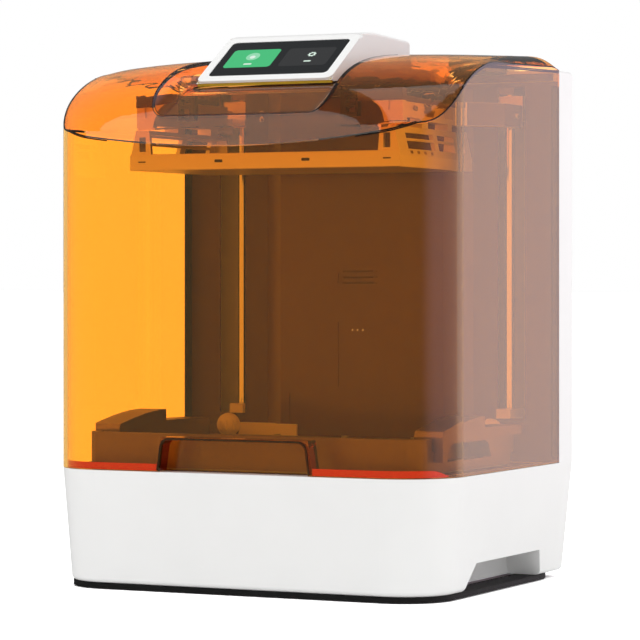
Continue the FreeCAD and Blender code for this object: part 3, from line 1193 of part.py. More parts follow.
def slab(hx, s0, s1, n0, n1, r):
    def upright_edge(edge):
        size = edge.BoundBox
        return size.ZLength > (n1 - n0) * 0.9 and size.XLength < 0.01 and size.YLength < 0.01

    shape = box(-hx, hx, s0, s1, n0, n1)
    return rounded(shape, r, upright_edge) if r > 0 else shape


drop_y = math.sin(tilt) * BEZEL_T
drop_z = math.cos(tilt) * BEZEL_T
pod_low_y = POD_LOW_Y + drop_y
pod_low_z = POD_LOW_Z - drop_z
pod_outline = [(pod_low_y, pod_low_z), (POD_HIGH_Y + drop_y, POD_HIGH_Z - drop_z),
               (POD_HIGH_Y + 1.0, POD_HIGH_Z + 0.2), (POD_HIGH_Y + 9, POD_TOP_Z - 0.7),
               (POD_HIGH_Y + 22, POD_TOP_Z), (POD_REAR_Y - 3, POD_TOP_Z - 2.4), (POD_REAR_Y, POD_TOP_Z - 5.4),
               (POD_REAR_Y, NECK_TOP_Z), (NECK_REAR_Y - NECK_CUT, NECK_TOP_Z),
               (NECK_REAR_Y, NECK_TOP_Z - NECK_CUT), (NECK_REAR_Y, TOWER_TOP), (TOWER_Y0, TOWER_TOP),
               (TOWER_Y0 - 4, TOWER_TOP - 2.5),
               (POD_HIGH_Y + 9, TOWER_TOP - 8.0), (pod_low_y + 5, pod_low_z - 0.8)]
pod = side_prism(pod_outline, -POD_X, POD_X)


def pod_edge(edge):
    mid = edge_mid(edge)
    on_side = abs(abs(mid.x) - POD_X) < 0.01
    return on_side and mid.z > NECK_TOP_Z + 6 and mid.y > POD_HIGH_Y + 2 and edge.BoundBox.YLength > 9


module_low = -BEZEL_T - MODULE_T
glass_top = -GLASS_SUNK
glass_low = glass_top - GLASS_T
trim = tilted(slab(POD_X - TRIM_EDGE, TRIM_EDGE, TRIM_RUN, -BEZEL_T - TRIM_T, -BEZEL_T, 0))
module_room = slab(GLASS_X + MODULE_ROOM, GLASS_LOW - 2 * MODULE_ROOM, GLASS_HIGH, module_low, BEZEL_T, 0)
save("display_pod", rounded(pod, POD_EDGE_R, pod_edge).cut(tilted(module_room)).cut(trim))
save("display_trim", trim)
bezel = slab(POD_X, 0.0, face_len, -BEZEL_T, 0.0, BEZEL_R)
bezel = bezel.cut(slab(GLASS_X, GLASS_LOW, GLASS_HIGH, -BEZEL_T - OVER, OVER, GLASS_R))
save("display_bezel", tilted(bezel))
save("display_glass", tilted(slab(GLASS_X, GLASS_LOW, GLASS_HIGH, glass_low, glass_top, GLASS_R)))
save("display_module", tilted(slab(GLASS_X, GLASS_LOW, GLASS_HIGH, module_low, glass_low, GLASS_R)))

# Rear fittings: power inlet with three blades, rocker switch in its frame, data port
wall_out = rear_wall_y(INLET_Z)
fitting_y = wall_out - FITTING_SUNK


def tray(x, z, width, height, wall, back, depth):
    y0 = wall_out - depth
    shell = box(x - width / 2, x + width / 2, y0, fitting_y, z - height / 2, z + height / 2)
    inside = box(x - width / 2 + wall, x + width / 2 - wall, y0 + back, fitting_y + OVER,
                 z - height / 2 + wall, z + height / 2 - wall)
    return shell.cut(inside)


inlet = tray(INLET_X, INLET_Z, INLET_W, INLET_H, INLET_WALL, INLET_BACK, INLET_DEEP)
inlet_y0 = wall_out - INLET_DEEP
for i in (-1, 0, 1):
    x = INLET_X + i * BLADE_STEP
    inlet = inlet.fuse(box(x - BLADE_W / 2, x + BLADE_W / 2, inlet_y0 + INLET_BACK - OVER, wall_out - 5,
                           INLET_Z - BLADE_H / 2, INLET_Z + BLADE_H / 2))
save("power_inlet", inlet.removeSplitter())
switch_box = tray(SWITCH_X, INLET_Z, SWITCH_W, SWITCH_H, SWITCH_WALL, 2.0, SWITCH_DEEP)
rocker_y = wall_out - ROCKER_SUNK
axle_x = SWITCH_W / 2 - 1.0
axle = cross_rod(ROCKER_AXLE_R, SWITCH_X - axle_x, SWITCH_X + axle_x, rocker_y, INLET_Z)
save("switch_frame", switch_box.fuse(axle).removeSplitter())
rock_x = SWITCH_W / 2 - SWITCH_WALL - ROCKER_GAP
rock_z = SWITCH_H / 2 - SWITCH_WALL - 1.7
rocker_outline = [(rocker_y - 3.4, INLET_Z - 4.0), (rocker_y + 3.0, INLET_Z - rock_z),
                  (rocker_y + 4.0, INLET_Z - rock_z + 0.4), (rocker_y + 3.0, INLET_Z),
                  (rocker_y + 4.0, INLET_Z + rock_z - 0.4), (rocker_y + 3.0, INLET_Z + rock_z),
                  (rocker_y - 3.4, INLET_Z + 4.0)]
rocker = side_prism(rocker_outline, SWITCH_X - rock_x, SWITCH_X + rock_x)
rocker = rocker.cut(cross_rod(ROCKER_AXLE_R + AXLE_FIT, SWITCH_X - SWITCH_W, SWITCH_X + SWITCH_W,
                              rocker_y, INLET_Z))
rocker.rotate(V(SWITCH_X, rocker_y, INLET_Z), V(1, 0, 0), SWITCH_TILT)
save("rocker_switch", rocker)
usb = tray(USB_X, USB_Z, USB_W, USB_H, USB_WALL, INLET_BACK, USB_DEEP)
tongue_z = USB_Z + 0.2
usb = usb.fuse(box(USB_X - USB_TONGUE_X / 2, USB_X + USB_TONGUE_X / 2, wall_out - USB_DEEP + OVER,
                   wall_out - 2, tongue_z, tongue_z + USB_TONGUE_T))
save("usb_port", usb.removeSplitter())
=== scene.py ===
import json
import math

import bmesh
import bpy
from mathutils import Matrix, Vector
from mathutils.bvhtree import BVHTree


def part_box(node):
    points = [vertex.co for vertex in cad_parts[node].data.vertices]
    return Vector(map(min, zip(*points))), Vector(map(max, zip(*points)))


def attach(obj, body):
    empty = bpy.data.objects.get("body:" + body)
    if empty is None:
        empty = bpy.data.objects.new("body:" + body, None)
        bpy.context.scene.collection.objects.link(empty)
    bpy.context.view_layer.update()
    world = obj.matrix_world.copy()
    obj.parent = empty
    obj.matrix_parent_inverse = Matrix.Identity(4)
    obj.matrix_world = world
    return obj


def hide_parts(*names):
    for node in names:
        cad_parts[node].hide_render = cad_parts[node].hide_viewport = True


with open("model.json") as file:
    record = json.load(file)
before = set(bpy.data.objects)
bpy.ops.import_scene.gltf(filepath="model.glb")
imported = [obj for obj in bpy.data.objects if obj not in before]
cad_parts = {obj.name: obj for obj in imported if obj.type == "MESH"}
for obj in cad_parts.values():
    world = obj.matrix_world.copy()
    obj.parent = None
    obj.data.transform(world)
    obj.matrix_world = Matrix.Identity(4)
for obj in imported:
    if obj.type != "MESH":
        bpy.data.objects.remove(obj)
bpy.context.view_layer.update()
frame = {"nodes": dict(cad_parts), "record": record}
nodes = frame["nodes"]
MM = 0.001
# Blender's noise at scale 1 has grains about this wide, in metres, and most of its values lie in this range
NOISE_GRAIN = 0.5
NOISE_LOW = 0.3
NOISE_HIGH = 0.7
# Width over which the tone of a surface drifts
DRIFT_MM = 30
# Height of one row of screen pixels as drawn. Blender's wave at scale 1 has about this many rows to a metre
PIXEL_ROW_MM = 0.6
WAVE_ROWS = 6.28


def linear(hex_colour):
    """A hex sRGB colour as linear red, green, blue and alpha."""
    parts = [int(hex_colour[i:i + 2], 16) / 255 for i in (1, 3, 5)]
    return [c / 12.92 if c <= 0.04045 else ((c + 0.055) / 1.055) ** 2.4 for c in parts] + [1.0]


def add_node(tree, kind, settings=None, links=None):
    """One node with its settings, by property or by socket name or number, and the sockets that feed it."""
    node = tree.nodes.new(kind)
    for key, value in (settings or {}).items():
        if isinstance(key, str) and hasattr(node, key):
            setattr(node, key, value)
        else:
            node.inputs[key].default_value = value
    for key, source in (links or {}).items():
        tree.links.new(source, node.inputs[key])
    return node


def surface_finish(name, shader, grain_mm, depth_mm, tones, gloss, stretch=(1, 1, 1), detail=3.0):
    """A material whose grain gives its bump and its change of roughness, over a slow drift between two tones.
    grain_mm is the width of one grain, depth_mm its height and gloss the lowest and highest roughness.
    stretch squeezes the grain along an axis, so that it runs in lines along the others."""
    material = bpy.data.materials.new(name)
    material.use_nodes = True
    tree = material.node_tree
    tree.nodes.clear()
    place = add_node(tree, "ShaderNodeTexCoord")
    spread = add_node(tree, "ShaderNodeMapping", {"Scale": stretch}, {"Vector": place.outputs["Object"]})
    grain = add_node(tree, "ShaderNodeTexNoise", {"Scale": NOISE_GRAIN / (grain_mm * MM), "Detail": detail},
                     {"Vector": spread.outputs["Vector"]})
    drift = add_node(tree, "ShaderNodeTexNoise", {"Scale": NOISE_GRAIN / (DRIFT_MM * MM), "Detail": 2.0},
                     {"Vector": place.outputs["Object"]})
    tone = add_node(tree, "ShaderNodeMix", {"data_type": "RGBA", 6: linear(tones[0]), 7: linear(tones[1])},
                    {0: drift.outputs[0]})
    rough = add_node(tree, "ShaderNodeMapRange", {"From Min": NOISE_LOW, "From Max": NOISE_HIGH,
                                                  "To Min": gloss[0], "To Max": gloss[1]},
                     {"Value": grain.outputs[0]})
    bump = add_node(tree, "ShaderNodeBump", {"Strength": 1.0, "Distance": depth_mm * MM},
                    {"Height": grain.outputs[0]})
    skin = add_node(tree, "ShaderNodeBsdfPrincipled", shader,
                    {"Base Color": tone.outputs[2], "Roughness": rough.outputs[0], "Normal": bump.outputs[0]})
    add_node(tree, "ShaderNodeOutputMaterial", None, {"Surface": skin.outputs[0]})
    return material


def lit_pixels(name, tones, strength):
    """A screen picture that glows: the panel's pixel rows, drawn coarse so that they show close up."""
    material = bpy.data.materials.new(name)
    material.use_nodes = True
    tree = material.node_tree
    tree.nodes.clear()
    place = add_node(tree, "ShaderNodeTexCoord")
    rows = add_node(tree, "ShaderNodeTexWave", {"Scale": 1 / (WAVE_ROWS * PIXEL_ROW_MM * MM),
                                                   "bands_direction": "Y"},
                    {"Vector": place.outputs["Object"]})
    tone = add_node(tree, "ShaderNodeMix", {"data_type": "RGBA", 6: linear(tones[0]), 7: linear(tones[1])},
                    {0: rows.outputs["Fac"]})
    skin = add_node(tree, "ShaderNodeBsdfPrincipled",
                    {"Base Color": (0.02, 0.02, 0.02, 1), "Roughness": 0.12, "Specular IOR Level": 0.18,
                     "Emission Strength": strength}, {"Emission Color": tone.outputs[2]})
    add_node(tree, "ShaderNodeOutputMaterial", None, {"Surface": skin.outputs[0]})
    return material


# Injection-moulded ABS from a spark-eroded mould: soft white with a fine even grain, drawn
# coarse so that it shows
WHITE_ABS = surface_finish("white_abs_moulded", {"IOR": 1.53, "Specular IOR Level": 0.35}, 0.6,
                           0.012, ("#EDEDEC", "#F3F3F2"), (0.36, 0.5))
# Injection-moulded black ABS: the same grain, a deep satin black that greys at the edge of a highlight
BLACK_ABS = surface_finish("black_abs_moulded", {"IOR": 1.53}, 0.6, 0.02, ("#161617", "#1D1D1E"), (0.35, 0.5))
# Cast rubber: dull black with a dusty bloom
BLACK_RUBBER = surface_finish("black_rubber_cast", {"IOR": 1.52, "Specular IOR Level": 0.3}, 0.8, 0.03,
                              ("#0E0E0E", "#181817"), (0.7, 0.85))
# Cast tinted acrylic, polished: clear orange that deepens with each wall that the light goes through
AMBER_ACRYLIC = surface_finish("amber_acrylic_polished", {"IOR": 1.49, "Transmission Weight": 1.0}, 40, 0.006,
                               ("#FFC566", "#FFC25E"), (0.0, 0.02))
# The roof is moulded thicker, so its orange is deeper and redder, with a faint ripple from the mould
AMBER_ROOF = surface_finish("amber_acrylic_moulded_thick", {"IOR": 1.49, "Transmission Weight": 1.0}, 40,
                            0.002, ("#F8A850", "#F6A248"), (0.0, 0.03))
# Sawn and scraped acrylic edge: it gathers the light of the whole wall and glows red
RED_ACRYLIC = surface_finish("red_acrylic_sawn_edge", {"IOR": 1.49, "Transmission Weight": 0.35}, 3, 0.02,
                             ("#DC322C", "#C82A26"), (0.12, 0.25))
# The same edge low on the wall, polished, with a painted glow: a bright red emission that stands in for the
# light the wall feeds into it
PAINTED_GLOW_RED = surface_finish("red_acrylic_edge_painted_glow", {"IOR": 1.49, "Emission Color": linear("#E0241A"),
                                                  "Emission Strength": 0.15}, 3, 0.01, ("#E62C1E", "#D42418"),
                         (0.1, 0.2))
# Acrylic bent while warm: clear, and painted a deep red as painted shade for the dark it shows wherever it is
# seen along its sheet
PAINTED_SHADE_RED = surface_finish("red_acrylic_bent_painted_shade", {"IOR": 1.49, "Transmission Weight": 1.0}, 30, 0.02,
                          ("#C83A20", "#BE321A"), (0.02, 0.05))
# Painted shade for the cut edge seen from the side, where it throws no light to the eye: near black with a
# red cast
PAINTED_SHADE_EDGE = surface_finish("acrylic_cut_edge_painted_shade", {"IOR": 1.49}, 3, 0.01, ("#1A0806", "#240A08"),
                           (0.1, 0.2))
# Powder-coated steel sheet: dark warm grey with the fine orange peel of the paint
GREY_PAINT = surface_finish("grey_powder_coat", {"IOR": 1.5}, 1.2, 0.03, ("#5A454F", "#624D56"), (0.42, 0.58))
# The column cover's coat is a little paler and has flowed out to a gloss, so that it shows soft reflections
GREY_COVER = surface_finish("grey_powder_coat_cover", {"IOR": 1.5}, 1.2, 0.03, ("#68505A", "#705861"),
                            (0.1, 0.2))
# Turned and ground steel: bright grey with fine tool lines
STEEL = surface_finish("steel_ground", {"Metallic": 1.0}, 0.5, 0.008, ("#A9AAAC", "#B6B7B9"), (0.25, 0.4))
# Hard-chromed steel rod: a mirror with the faintest lines along it
CHROME_ROD = surface_finish("steel_rod_chromed", {"Metallic": 1.0}, 0.4, 0.002, ("#D8D9DC", "#E2E3E5"),
                            (0.06, 0.14), (6, 6, 1))
# Bead-blasted aluminium: pale grey metal without direction
ALUMINIUM = surface_finish("aluminium_bead_blasted", {"Metallic": 1.0}, 0.7, 0.015, ("#E2DEDB", "#EAE6E3"),
                           (0.35, 0.5))
# Grey anodised aluminium: the same blasted skin, dyed
GREY_ANODISED = surface_finish("aluminium_anodised_grey", {"Metallic": 1.0}, 0.7, 0.015,
                               ("#82747A", "#8C7E83"), (0.4, 0.55))
# Glass-filled nylon, moulded: pale grey, half dull, with a faint mottle where the fibres reach the skin
PALE_NYLON = surface_finish("nylon_glass_filled_pale", {"IOR": 1.53}, 0.9, 0.02, ("#E6DDDA", "#EEE6E2"),
                            (0.35, 0.5))
# Turned brass: warm yellow with fine tool lines
BRASS = surface_finish("brass_turned", {"Metallic": 1.0}, 0.5, 0.008, ("#C39A4E", "#CFA75A"), (0.22, 0.36))
# Float glass with a coat against glare: clear, with a faint cool cast
CLEAR_GLASS = surface_finish("glass_coated", {"IOR": 1.5, "Transmission Weight": 1.0}, 25, 0.002,
                             ("#F2F7F8", "#EDF4F6"), (0.0, 0.02))
# Cover glass printed black on its back: deep black with a soft mirror
DARK_GLASS = surface_finish("cover_glass_black_printed", {"IOR": 1.5, "Specular IOR Level": 0.18}, 30, 0.002,
                            ("#1E2022", "#242628"), (0.05, 0.1))
# Fluoropolymer film, stretched: clear with a faint milk
FILM = surface_finish("release_film_stretched", {"IOR": 1.4, "Transmission Weight": 0.9}, 8, 0.01,
                      ("#EAF0F4", "#E2EAF0"), (0.05, 0.12))
# Circuit board under solder mask: deep green lacquer, half glossy over its tracks
BOARD = surface_finish("circuit_board_solder_mask", {"IOR": 1.55}, 1.5, 0.03, ("#14542C", "#1B6336"),
                       (0.3, 0.45))
# Moulded polycarbonate strip: honey yellow as a painted highlight for the lit edge of the bay floor under the
# screen, with a wet gloss
PAINTED_HIGHLIGHT_STRIP = surface_finish("polycarbonate_strip_painted_highlight", {"IOR": 1.58}, 3, 0.01, ("#C9AE3C", "#B89A30"),
                           (0.15, 0.25))
# Painted steel laminations of the motor: dull black with the fine texture of the paint
MOTOR_BLACK = surface_finish("steel_painted_black", {"IOR": 1.5}, 0.9, 0.02, ("#151516", "#1C1C1E"),
                             (0.4, 0.55))
# Screen pictures and lit windows: they glow a little, so they keep their colour in shade
TILE_GREEN = lit_pixels("screen_pixels_green", ("#34BC70", "#48CA86"), 0.9)
TILE_GREY = lit_pixels("screen_pixels_grey", ("#292B2E", "#2E3033"), 0.5)
PICTURE_PALE = lit_pixels("screen_pixels_pale", ("#DDF5E6", "#EAFBF0"), 0.9)
PICTURE_MINT = lit_pixels("screen_pixels_mint", ("#8FDDB0", "#9BE4BA"), 0.9)
SENSOR_GLOW = lit_pixels("sensor_window_lit", ("#E8D8CC", "#F4E6DA"), 0.6)

SLOT_FINISH = {
    "white_plastic": WHITE_ABS, "amber_acrylic": AMBER_ACRYLIC, "red_acrylic": RED_ACRYLIC,
    "black_rubber": BLACK_RUBBER, "black_plastic": BLACK_ABS, "grey_panel": GREY_PAINT, "steel": STEEL,
    "polished_steel": CHROME_ROD, "aluminium": ALUMINIUM, "grey_aluminium": GREY_ANODISED, "brass": BRASS,
    "glass": CLEAR_GLASS, "dark_glass": DARK_GLASS, "film": FILM, "board_green": BOARD,
    "gold_trim": PAINTED_HIGHLIGHT_STRIP, "motor_black": MOTOR_BLACK,
}
NODE_FINISH = {"lid_roof": AMBER_ROOF, "column_cover": GREY_COVER, "vat_knob_left": PALE_NYLON,
               "vat_knob_right": PALE_NYLON, "panel_bars": PALE_NYLON, "rod_feet": PALE_NYLON,
               "head_bar": GREY_ANODISED}
for part in frame["record"]["subparts"]:
    mesh = nodes[part["node"]].data
    mesh.materials.clear()
    mesh.materials.append(NODE_FINISH.get(part["node"], SLOT_FINISH[part["material_slot"]]))


def make_piece(name, form, body, finish):
    """A mesh from a bmesh, on its body and finish."""
    mesh = bpy.data.meshes.new(name)
    bmesh.ops.recalc_face_normals(form, faces=form.faces)
    form.to_mesh(mesh)
    form.free()
    mesh.shade_smooth()
    mesh.set_sharp_from_angle(angle=math.radians(30))
    mesh.materials.append(finish)
    piece = bpy.data.objects.new(name, mesh)
    bpy.context.scene.collection.objects.link(piece)
    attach(piece, body)
    return piece


def plate(form, outline, place, low, high):
    """A flat plate of an outline in millimetres, from low to high above the plane of a placement."""
    ring = [form.verts.new(place @ Vector((x * MM, y * MM, low * MM))) for x, y in outline]
    base = form.faces.new(ring)
    top = bmesh.ops.extrude_face_region(form, geom=[base])
    moved = [v for v in top["geom"] if isinstance(v, bmesh.types.BMVert)]
    lift = place.to_3x3() @ Vector((0, 0, (high - low) * MM))
    bmesh.ops.translate(form, verts=moved, vec=lift)


def round_rectangle(x0, x1, y0, y1, radius, steps=8):
    """The outline of a rectangle with round corners."""
    outline = []
    corners = [(x1 - radius, y1 - radius, 0), (x0 + radius, y1 - radius, 90), (x0 + radius, y0 + radius, 180),
               (x1 - radius, y0 + radius, 270)]
    for cx, cy, start in corners:
        for i in range(steps + 1):
            a = math.radians(start + 90 * i / steps)
            outline.append((cx + radius * math.cos(a), cy + radius * math.sin(a)))
    return outline


def turned(form, profile, place, steps=28):
    """A turned form: a profile of radius and height in millimetres spun round the axis of a placement."""
    rings = []
    for radius, height in profile:
        ring = []
        for i in range(steps):
            a = 2 * math.pi * i / steps
            spot = Vector((radius * math.cos(a) * MM, radius * math.sin(a) * MM, height * MM))
            ring.append(form.verts.new(place @ spot))
        rings.append(ring)
    for lower, upper in zip(rings, rings[1:]):
        for i in range(steps):
            j = (i + 1) % steps
            form.faces.new((lower[i], lower[j], upper[j], upper[i]))
    form.faces.new(rings[0])
    form.faces.new(rings[-1])


def facing(point, out):
    """A placement at a point in millimetres whose height runs along the direction out."""
    turn = Vector(out).to_track_quat("Z", "Y").to_matrix().to_4x4()
    return Matrix.Translation(Vector(point) * MM) @ turn


def cap_screw(form, point, out, radius):
    """A cap screw: a domed head with a round socket sunk in it."""
    head = [(1, 0), (1, 0.7), (0.86, 0.95), (0.55, 1), (0.5, 0.95), (0.46, 0.4)]
    turned(form, [(radius * wide, radius * up) for wide, up in head], facing(point, out), 24)


def circle(x, y, radius, steps, turn):
    """Points on a circle, one for each numbered step, with turn steps to a full turn."""
    points = []
    for step in steps:
        a = 2 * math.pi * step / turn
        points.append((x + radius * math.cos(a), y + radius * math.sin(a)))
    return points


# Touch screen picture on the tilted glass: a green tile with a drop in a disc, a grey tile with a gear, and a
# plain bar under each. Its plane starts at the foot of the bezel, and y runs up the slope
SCREEN_TILT = math.atan2(36.0, 55.0)
BEZEL_FOOT = Vector((0, -84.0, 383.6))
GLASS_SINK = 0.4
SCREEN = (Matrix.Translation(BEZEL_FOOT * MM) @ Matrix.Rotation(SCREEN_TILT, 4, "X")
          @ Matrix.Translation(Vector((0, 0, -GLASS_SINK)) * MM))
GLASS_SKIN = 0.02
TILE_SKIN = 0.05
PICTURE_SKIN = 0.07
DROP_SKIN = 0.09

TILE_LOW = 20.5
TILE_HIGH = 47.6
TILE_NEAR = 3.4
TILE_FAR = 43.6
TILE_ROUND = 3.0
tile = bmesh.new()
tile_outline = round_rectangle(-TILE_FAR, -TILE_NEAR, TILE_LOW, TILE_HIGH, TILE_ROUND)
plate(tile, tile_outline, SCREEN, GLASS_SKIN, TILE_SKIN)
make_piece("display_tile_print", tile, "frame", TILE_GREEN)
tile = bmesh.new()
tile_outline = round_rectangle(TILE_NEAR, TILE_FAR, TILE_LOW, TILE_HIGH, TILE_ROUND)
plate(tile, tile_outline, SCREEN, GLASS_SKIN, TILE_SKIN)
make_piece("display_tile_settings", tile, "frame", TILE_GREY)

PRINT_X = -24.0
PRINT_Y = 37.0
DISC_RADIUS = 5.6
DROP_RADIUS = 2.3
DROP_LOW = 0.9
PRINT_BAR = round_rectangle(PRINT_X - 3.4, PRINT_X + 3.4, 24.6, 26.6, 0.8)
disc = bmesh.new()
plate(disc, circle(PRINT_X, PRINT_Y, DISC_RADIUS, range(48), 48), SCREEN, TILE_SKIN, PICTURE_SKIN)
make_piece("display_print_disc", disc, "frame", PICTURE_MINT)
drop = bmesh.new()
drop_belly = circle(PRINT_X, PRINT_Y - DROP_LOW, DROP_RADIUS, range(-21, 22), 40)
drop_tip = [(PRINT_X - 1.2, PRINT_Y + 1.4), (PRINT_X, PRINT_Y + 3.9)]
plate(drop, drop_belly + drop_tip, SCREEN, PICTURE_SKIN, DROP_SKIN)
plate(drop, PRINT_BAR, SCREEN, TILE_SKIN, PICTURE_SKIN)
make_piece("display_print_drop", drop, "frame", PICTURE_PALE)

GEAR_X = 26.0
GEAR_Y = 37.6
GEAR_TIP = 3.5
GEAR_ROOT = 2.8
GEAR_HOLE = 1.5
GEAR_STEPS = 32
GEAR_BAR = round_rectangle(GEAR_X - 3.0, GEAR_X + 3.0, 26.4, 28.2, 0.7)
gear = bmesh.new()
gear_teeth = []
gear_hole = []
for i in range(GEAR_STEPS):
    tooth = GEAR_TIP if i % 4 in (1, 2) else GEAR_ROOT
    gear_teeth += circle(GEAR_X, GEAR_Y, tooth, [i], GEAR_STEPS)
    gear_hole += circle(GEAR_X, GEAR_Y, GEAR_HOLE, [i], GEAR_STEPS)
for i in range(GEAR_STEPS):
    j = (i + 1) % GEAR_STEPS
    plate(gear, [gear_teeth[i], gear_teeth[j], gear_hole[j], gear_hole[i]], SCREEN, TILE_SKIN, PICTURE_SKIN)
plate(gear, GEAR_BAR, SCREEN, TILE_SKIN, PICTURE_SKIN)
make_piece("display_gear", gear, "frame", PICTURE_PALE)

# Three sensor windows in a row on the column cover, each a low dome
SENSOR_Z = 192.7
SENSOR_DOME = [(0.65, -0.2), (0.65, 0.15), (0.5, 0.42), (0.2, 0.55)]
cover_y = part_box("column_cover")[0].y / MM
sensors = bmesh.new()
for x in (-9.3, -4.7, 0.0):
    turned(sensors, SENSOR_DOME, facing((x, cover_y, SENSOR_Z), (0, -1, 0)), 20)
make_piece("sensor_windows", sensors, "frame", SENSOR_GLOW)

# Screws on the bottom plate and the carriage
SCREW_HEAD = 2.4
BOTTOM_SCREW_X = 90
BOTTOM_SCREW_Y = 60
plate_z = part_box("feet")[1].z / MM
screws = bmesh.new()
for side in (-1, 1):
    for y in (-BOTTOM_SCREW_Y, BOTTOM_SCREW_Y):
        cap_screw(screws, (side * BOTTOM_SCREW_X, y, plate_z), (0, 0, -1), SCREW_HEAD)
make_piece("bottom_screws", screws, "frame", STEEL)

BEAM_SCREW_Z = 367.5
ARM_SCREW_HEAD = 2.2
ARM_SCREW_Z = 361
RAIL_SIDE = 110.0
SLEEVE_STANDS_OFF = 0.6
beam_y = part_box("carriage_beam")[0].y / MM
arm_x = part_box("platform_arms")[1].x / MM
carriage_screws = bmesh.new()
for side in (-1, 1):
    for x in (30, 96):
        cap_screw(carriage_screws, (side * x, beam_y, BEAM_SCREW_Z), (0, -1, 0), SCREW_HEAD)
    for x, y in ((RAIL_SIDE, -52), (arm_x + SLEEVE_STANDS_OFF, 88)):
        cap_screw(carriage_screws, (side * x, y, ARM_SCREW_Z), (side, 0, 0), ARM_SCREW_HEAD)
make_piece("carriage_screws", carriage_screws, "carriage", STEEL)

# Corners closer than this are one corner
WELD = 0.02 * MM


def eased_copy(name, node, gap, tall, body, finish):
    """A node's own form with its skin drawn in by a gap in millimetres, so that it lies clear of the sheet it
    touches, and its height grown from its foot."""
    form = bmesh.new()
    form.from_mesh(nodes[node].data)
    bmesh.ops.remove_doubles(form, verts=form.verts, dist=WELD)
    form.normal_update()
    foot = min(v.co.z for v in form.verts)
    moved = [v.co - v.normal * gap * MM for v in form.verts]
    for vert, spot in zip(form.verts, moved):
        vert.co = (spot.x, spot.y, foot + gap * MM + (spot.z - foot) * tall)
    piece = make_piece(name, form, body, finish)
    piece.data.shade_flat()
    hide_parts(node)
    return piece


# Two faces touch when they are this close and look almost straight at each other
TOUCHING = 0.15 * MM
FACE_TO_FACE = -0.8


def seam_faces(node, others):
    """Numbers of the faces of a node that lie on the skin of its neighbours."""
    found = set()
    for other in others:
        mesh = nodes[other].data
        skin = BVHTree.FromPolygons([v.co for v in mesh.vertices], [f.vertices[:] for f in mesh.polygons])
        for face in nodes[node].data.polygons:
            _, normal, _, gap = skin.find_nearest(face.center)
            if gap < TOUCHING and normal.dot(face.normal) < FACE_TO_FACE:
                found.add(face.index)
    return found


SEAM = {"lid_wall": seam_faces("lid_wall", ["lid_seam_strip"]),
        "lid_seam_strip": seam_faces("lid_seam_strip", ["lid_wall", "lid_roof"]),
        "lid_roof": seam_faces("lid_roof", ["lid_seam_strip"])}
LID_MIDDLE = Vector((0, -20, 250)) * MM
# An edge that bends by more than this, in radians, counts as an edge and not as part of a curve
SHARP_BEND = 0.5


def bead_along(name, node, wanted, radius, inset, body, finish):
    """A thin bead along the edges of a CAD node that a test picks. It lies inset under the node's skin."""
    form = bmesh.new()
    form.from_mesh(nodes[node].data)
    form.faces.ensure_lookup_table()
    for number in SEAM[node]:
        form.faces[number].material_index = 1
    bmesh.ops.remove_doubles(form, verts=form.verts, dist=WELD)
    form.normal_update()
    edges = [e for e in form.edges if len(e.link_faces) == 2]
    left = [e for e in edges if e.calc_face_angle(0) > SHARP_BEND and wanted(e)]
    curve = bpy.data.curves.new(name, "CURVE")
    curve.dimensions = "3D"
    curve.bevel_depth = radius * MM
    curve.bevel_resolution = 2
    curve.use_fill_caps = True
    while left:
        edge = left.pop()
        chain = [edge.verts[0], edge.verts[1]]
        for end in (-1, 0):
            while True:
                step = next((e for e in chain[end].link_edges if e in left), None)
                if step is None:
                    break
                left.remove(step)
                chain.insert(len(chain) if end else 0, step.other_vert(chain[end]))
        spline = curve.splines.new("POLY")
        spline.points.add(len(chain) - 1)
        for point, vert in zip(spline.points, chain):
            point.co = (*(vert.co - vert.normal * inset * MM), 1)
    form.free()
    curve.materials.append(finish)
    piece = bpy.data.objects.new(name, curve)
    bpy.context.scene.collection.objects.link(piece)
    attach(piece, body)
    return piece


def edge_middle(edge):
    """The middle of an edge, in millimetres."""
    return (edge.verts[0].co + edge.verts[1].co) / 2 / MM


BAY_HALF = 80
BAY_FOOT = 352
GRIP_HALF = 66
GRIP_LOW = 91.5
GRIP_HIGH = 117
GRIP_FRONT = -131
BROW_FRONT = -100
BARE_SEAM_HALF = 76
SHOULDER_Z = 330
SHOULDER_X = 110
ROOF_SLOPE = 0.3


def on_bay_rim(edge):
    """Outer rim of the display bay in the roof."""
    spot = edge_middle(edge)
    return abs(spot.x) < BAY_HALF and spot.z > BAY_FOOT and spot.y < 0


def on_grip_rim(edge):
    """Rim of the finger grip in the front wall."""
    spot = edge_middle(edge)
    return abs(spot.x) < GRIP_HALF and GRIP_LOW < spot.z < GRIP_HIGH and spot.y < GRIP_FRONT


def on_roof_skin(face):
    """Whether a face looks up or down like the roof, and not sideways like the wall."""
    return abs(face.normal.z) > ROOF_SLOPE


def on_seam(edge):
    """Outer edges of the strip between the wall and the roof, apart from the middle of the front."""
    skin = [f for f in edge.link_faces if f.material_index == 0]
    spot = edge_middle(edge)
    at_front = spot.y < BROW_FRONT and abs(spot.x) < BARE_SEAM_HALF
    on_shoulder = skin and on_roof_skin(skin[0])
    out = skin and skin[0].normal.dot(edge.verts[0].co - LID_MIDDLE) > 0
    return len(skin) == 1 and out and not at_front and not on_shoulder


def on_shoulder_edge(edge):
    """Edge between the upright side of the lid wall and the patch of roof that belongs to the wall."""
    roofed = [on_roof_skin(f) for f in edge.link_faces]
    out = edge.link_faces[0].normal.dot(edge.verts[0].co - LID_MIDDLE) > 0
    spot = edge.verts[0].co
    low = spot.z < SHOULDER_Z * MM or abs(spot.x) < SHOULDER_X * MM
    return out and roofed.count(True) == 1 and not low
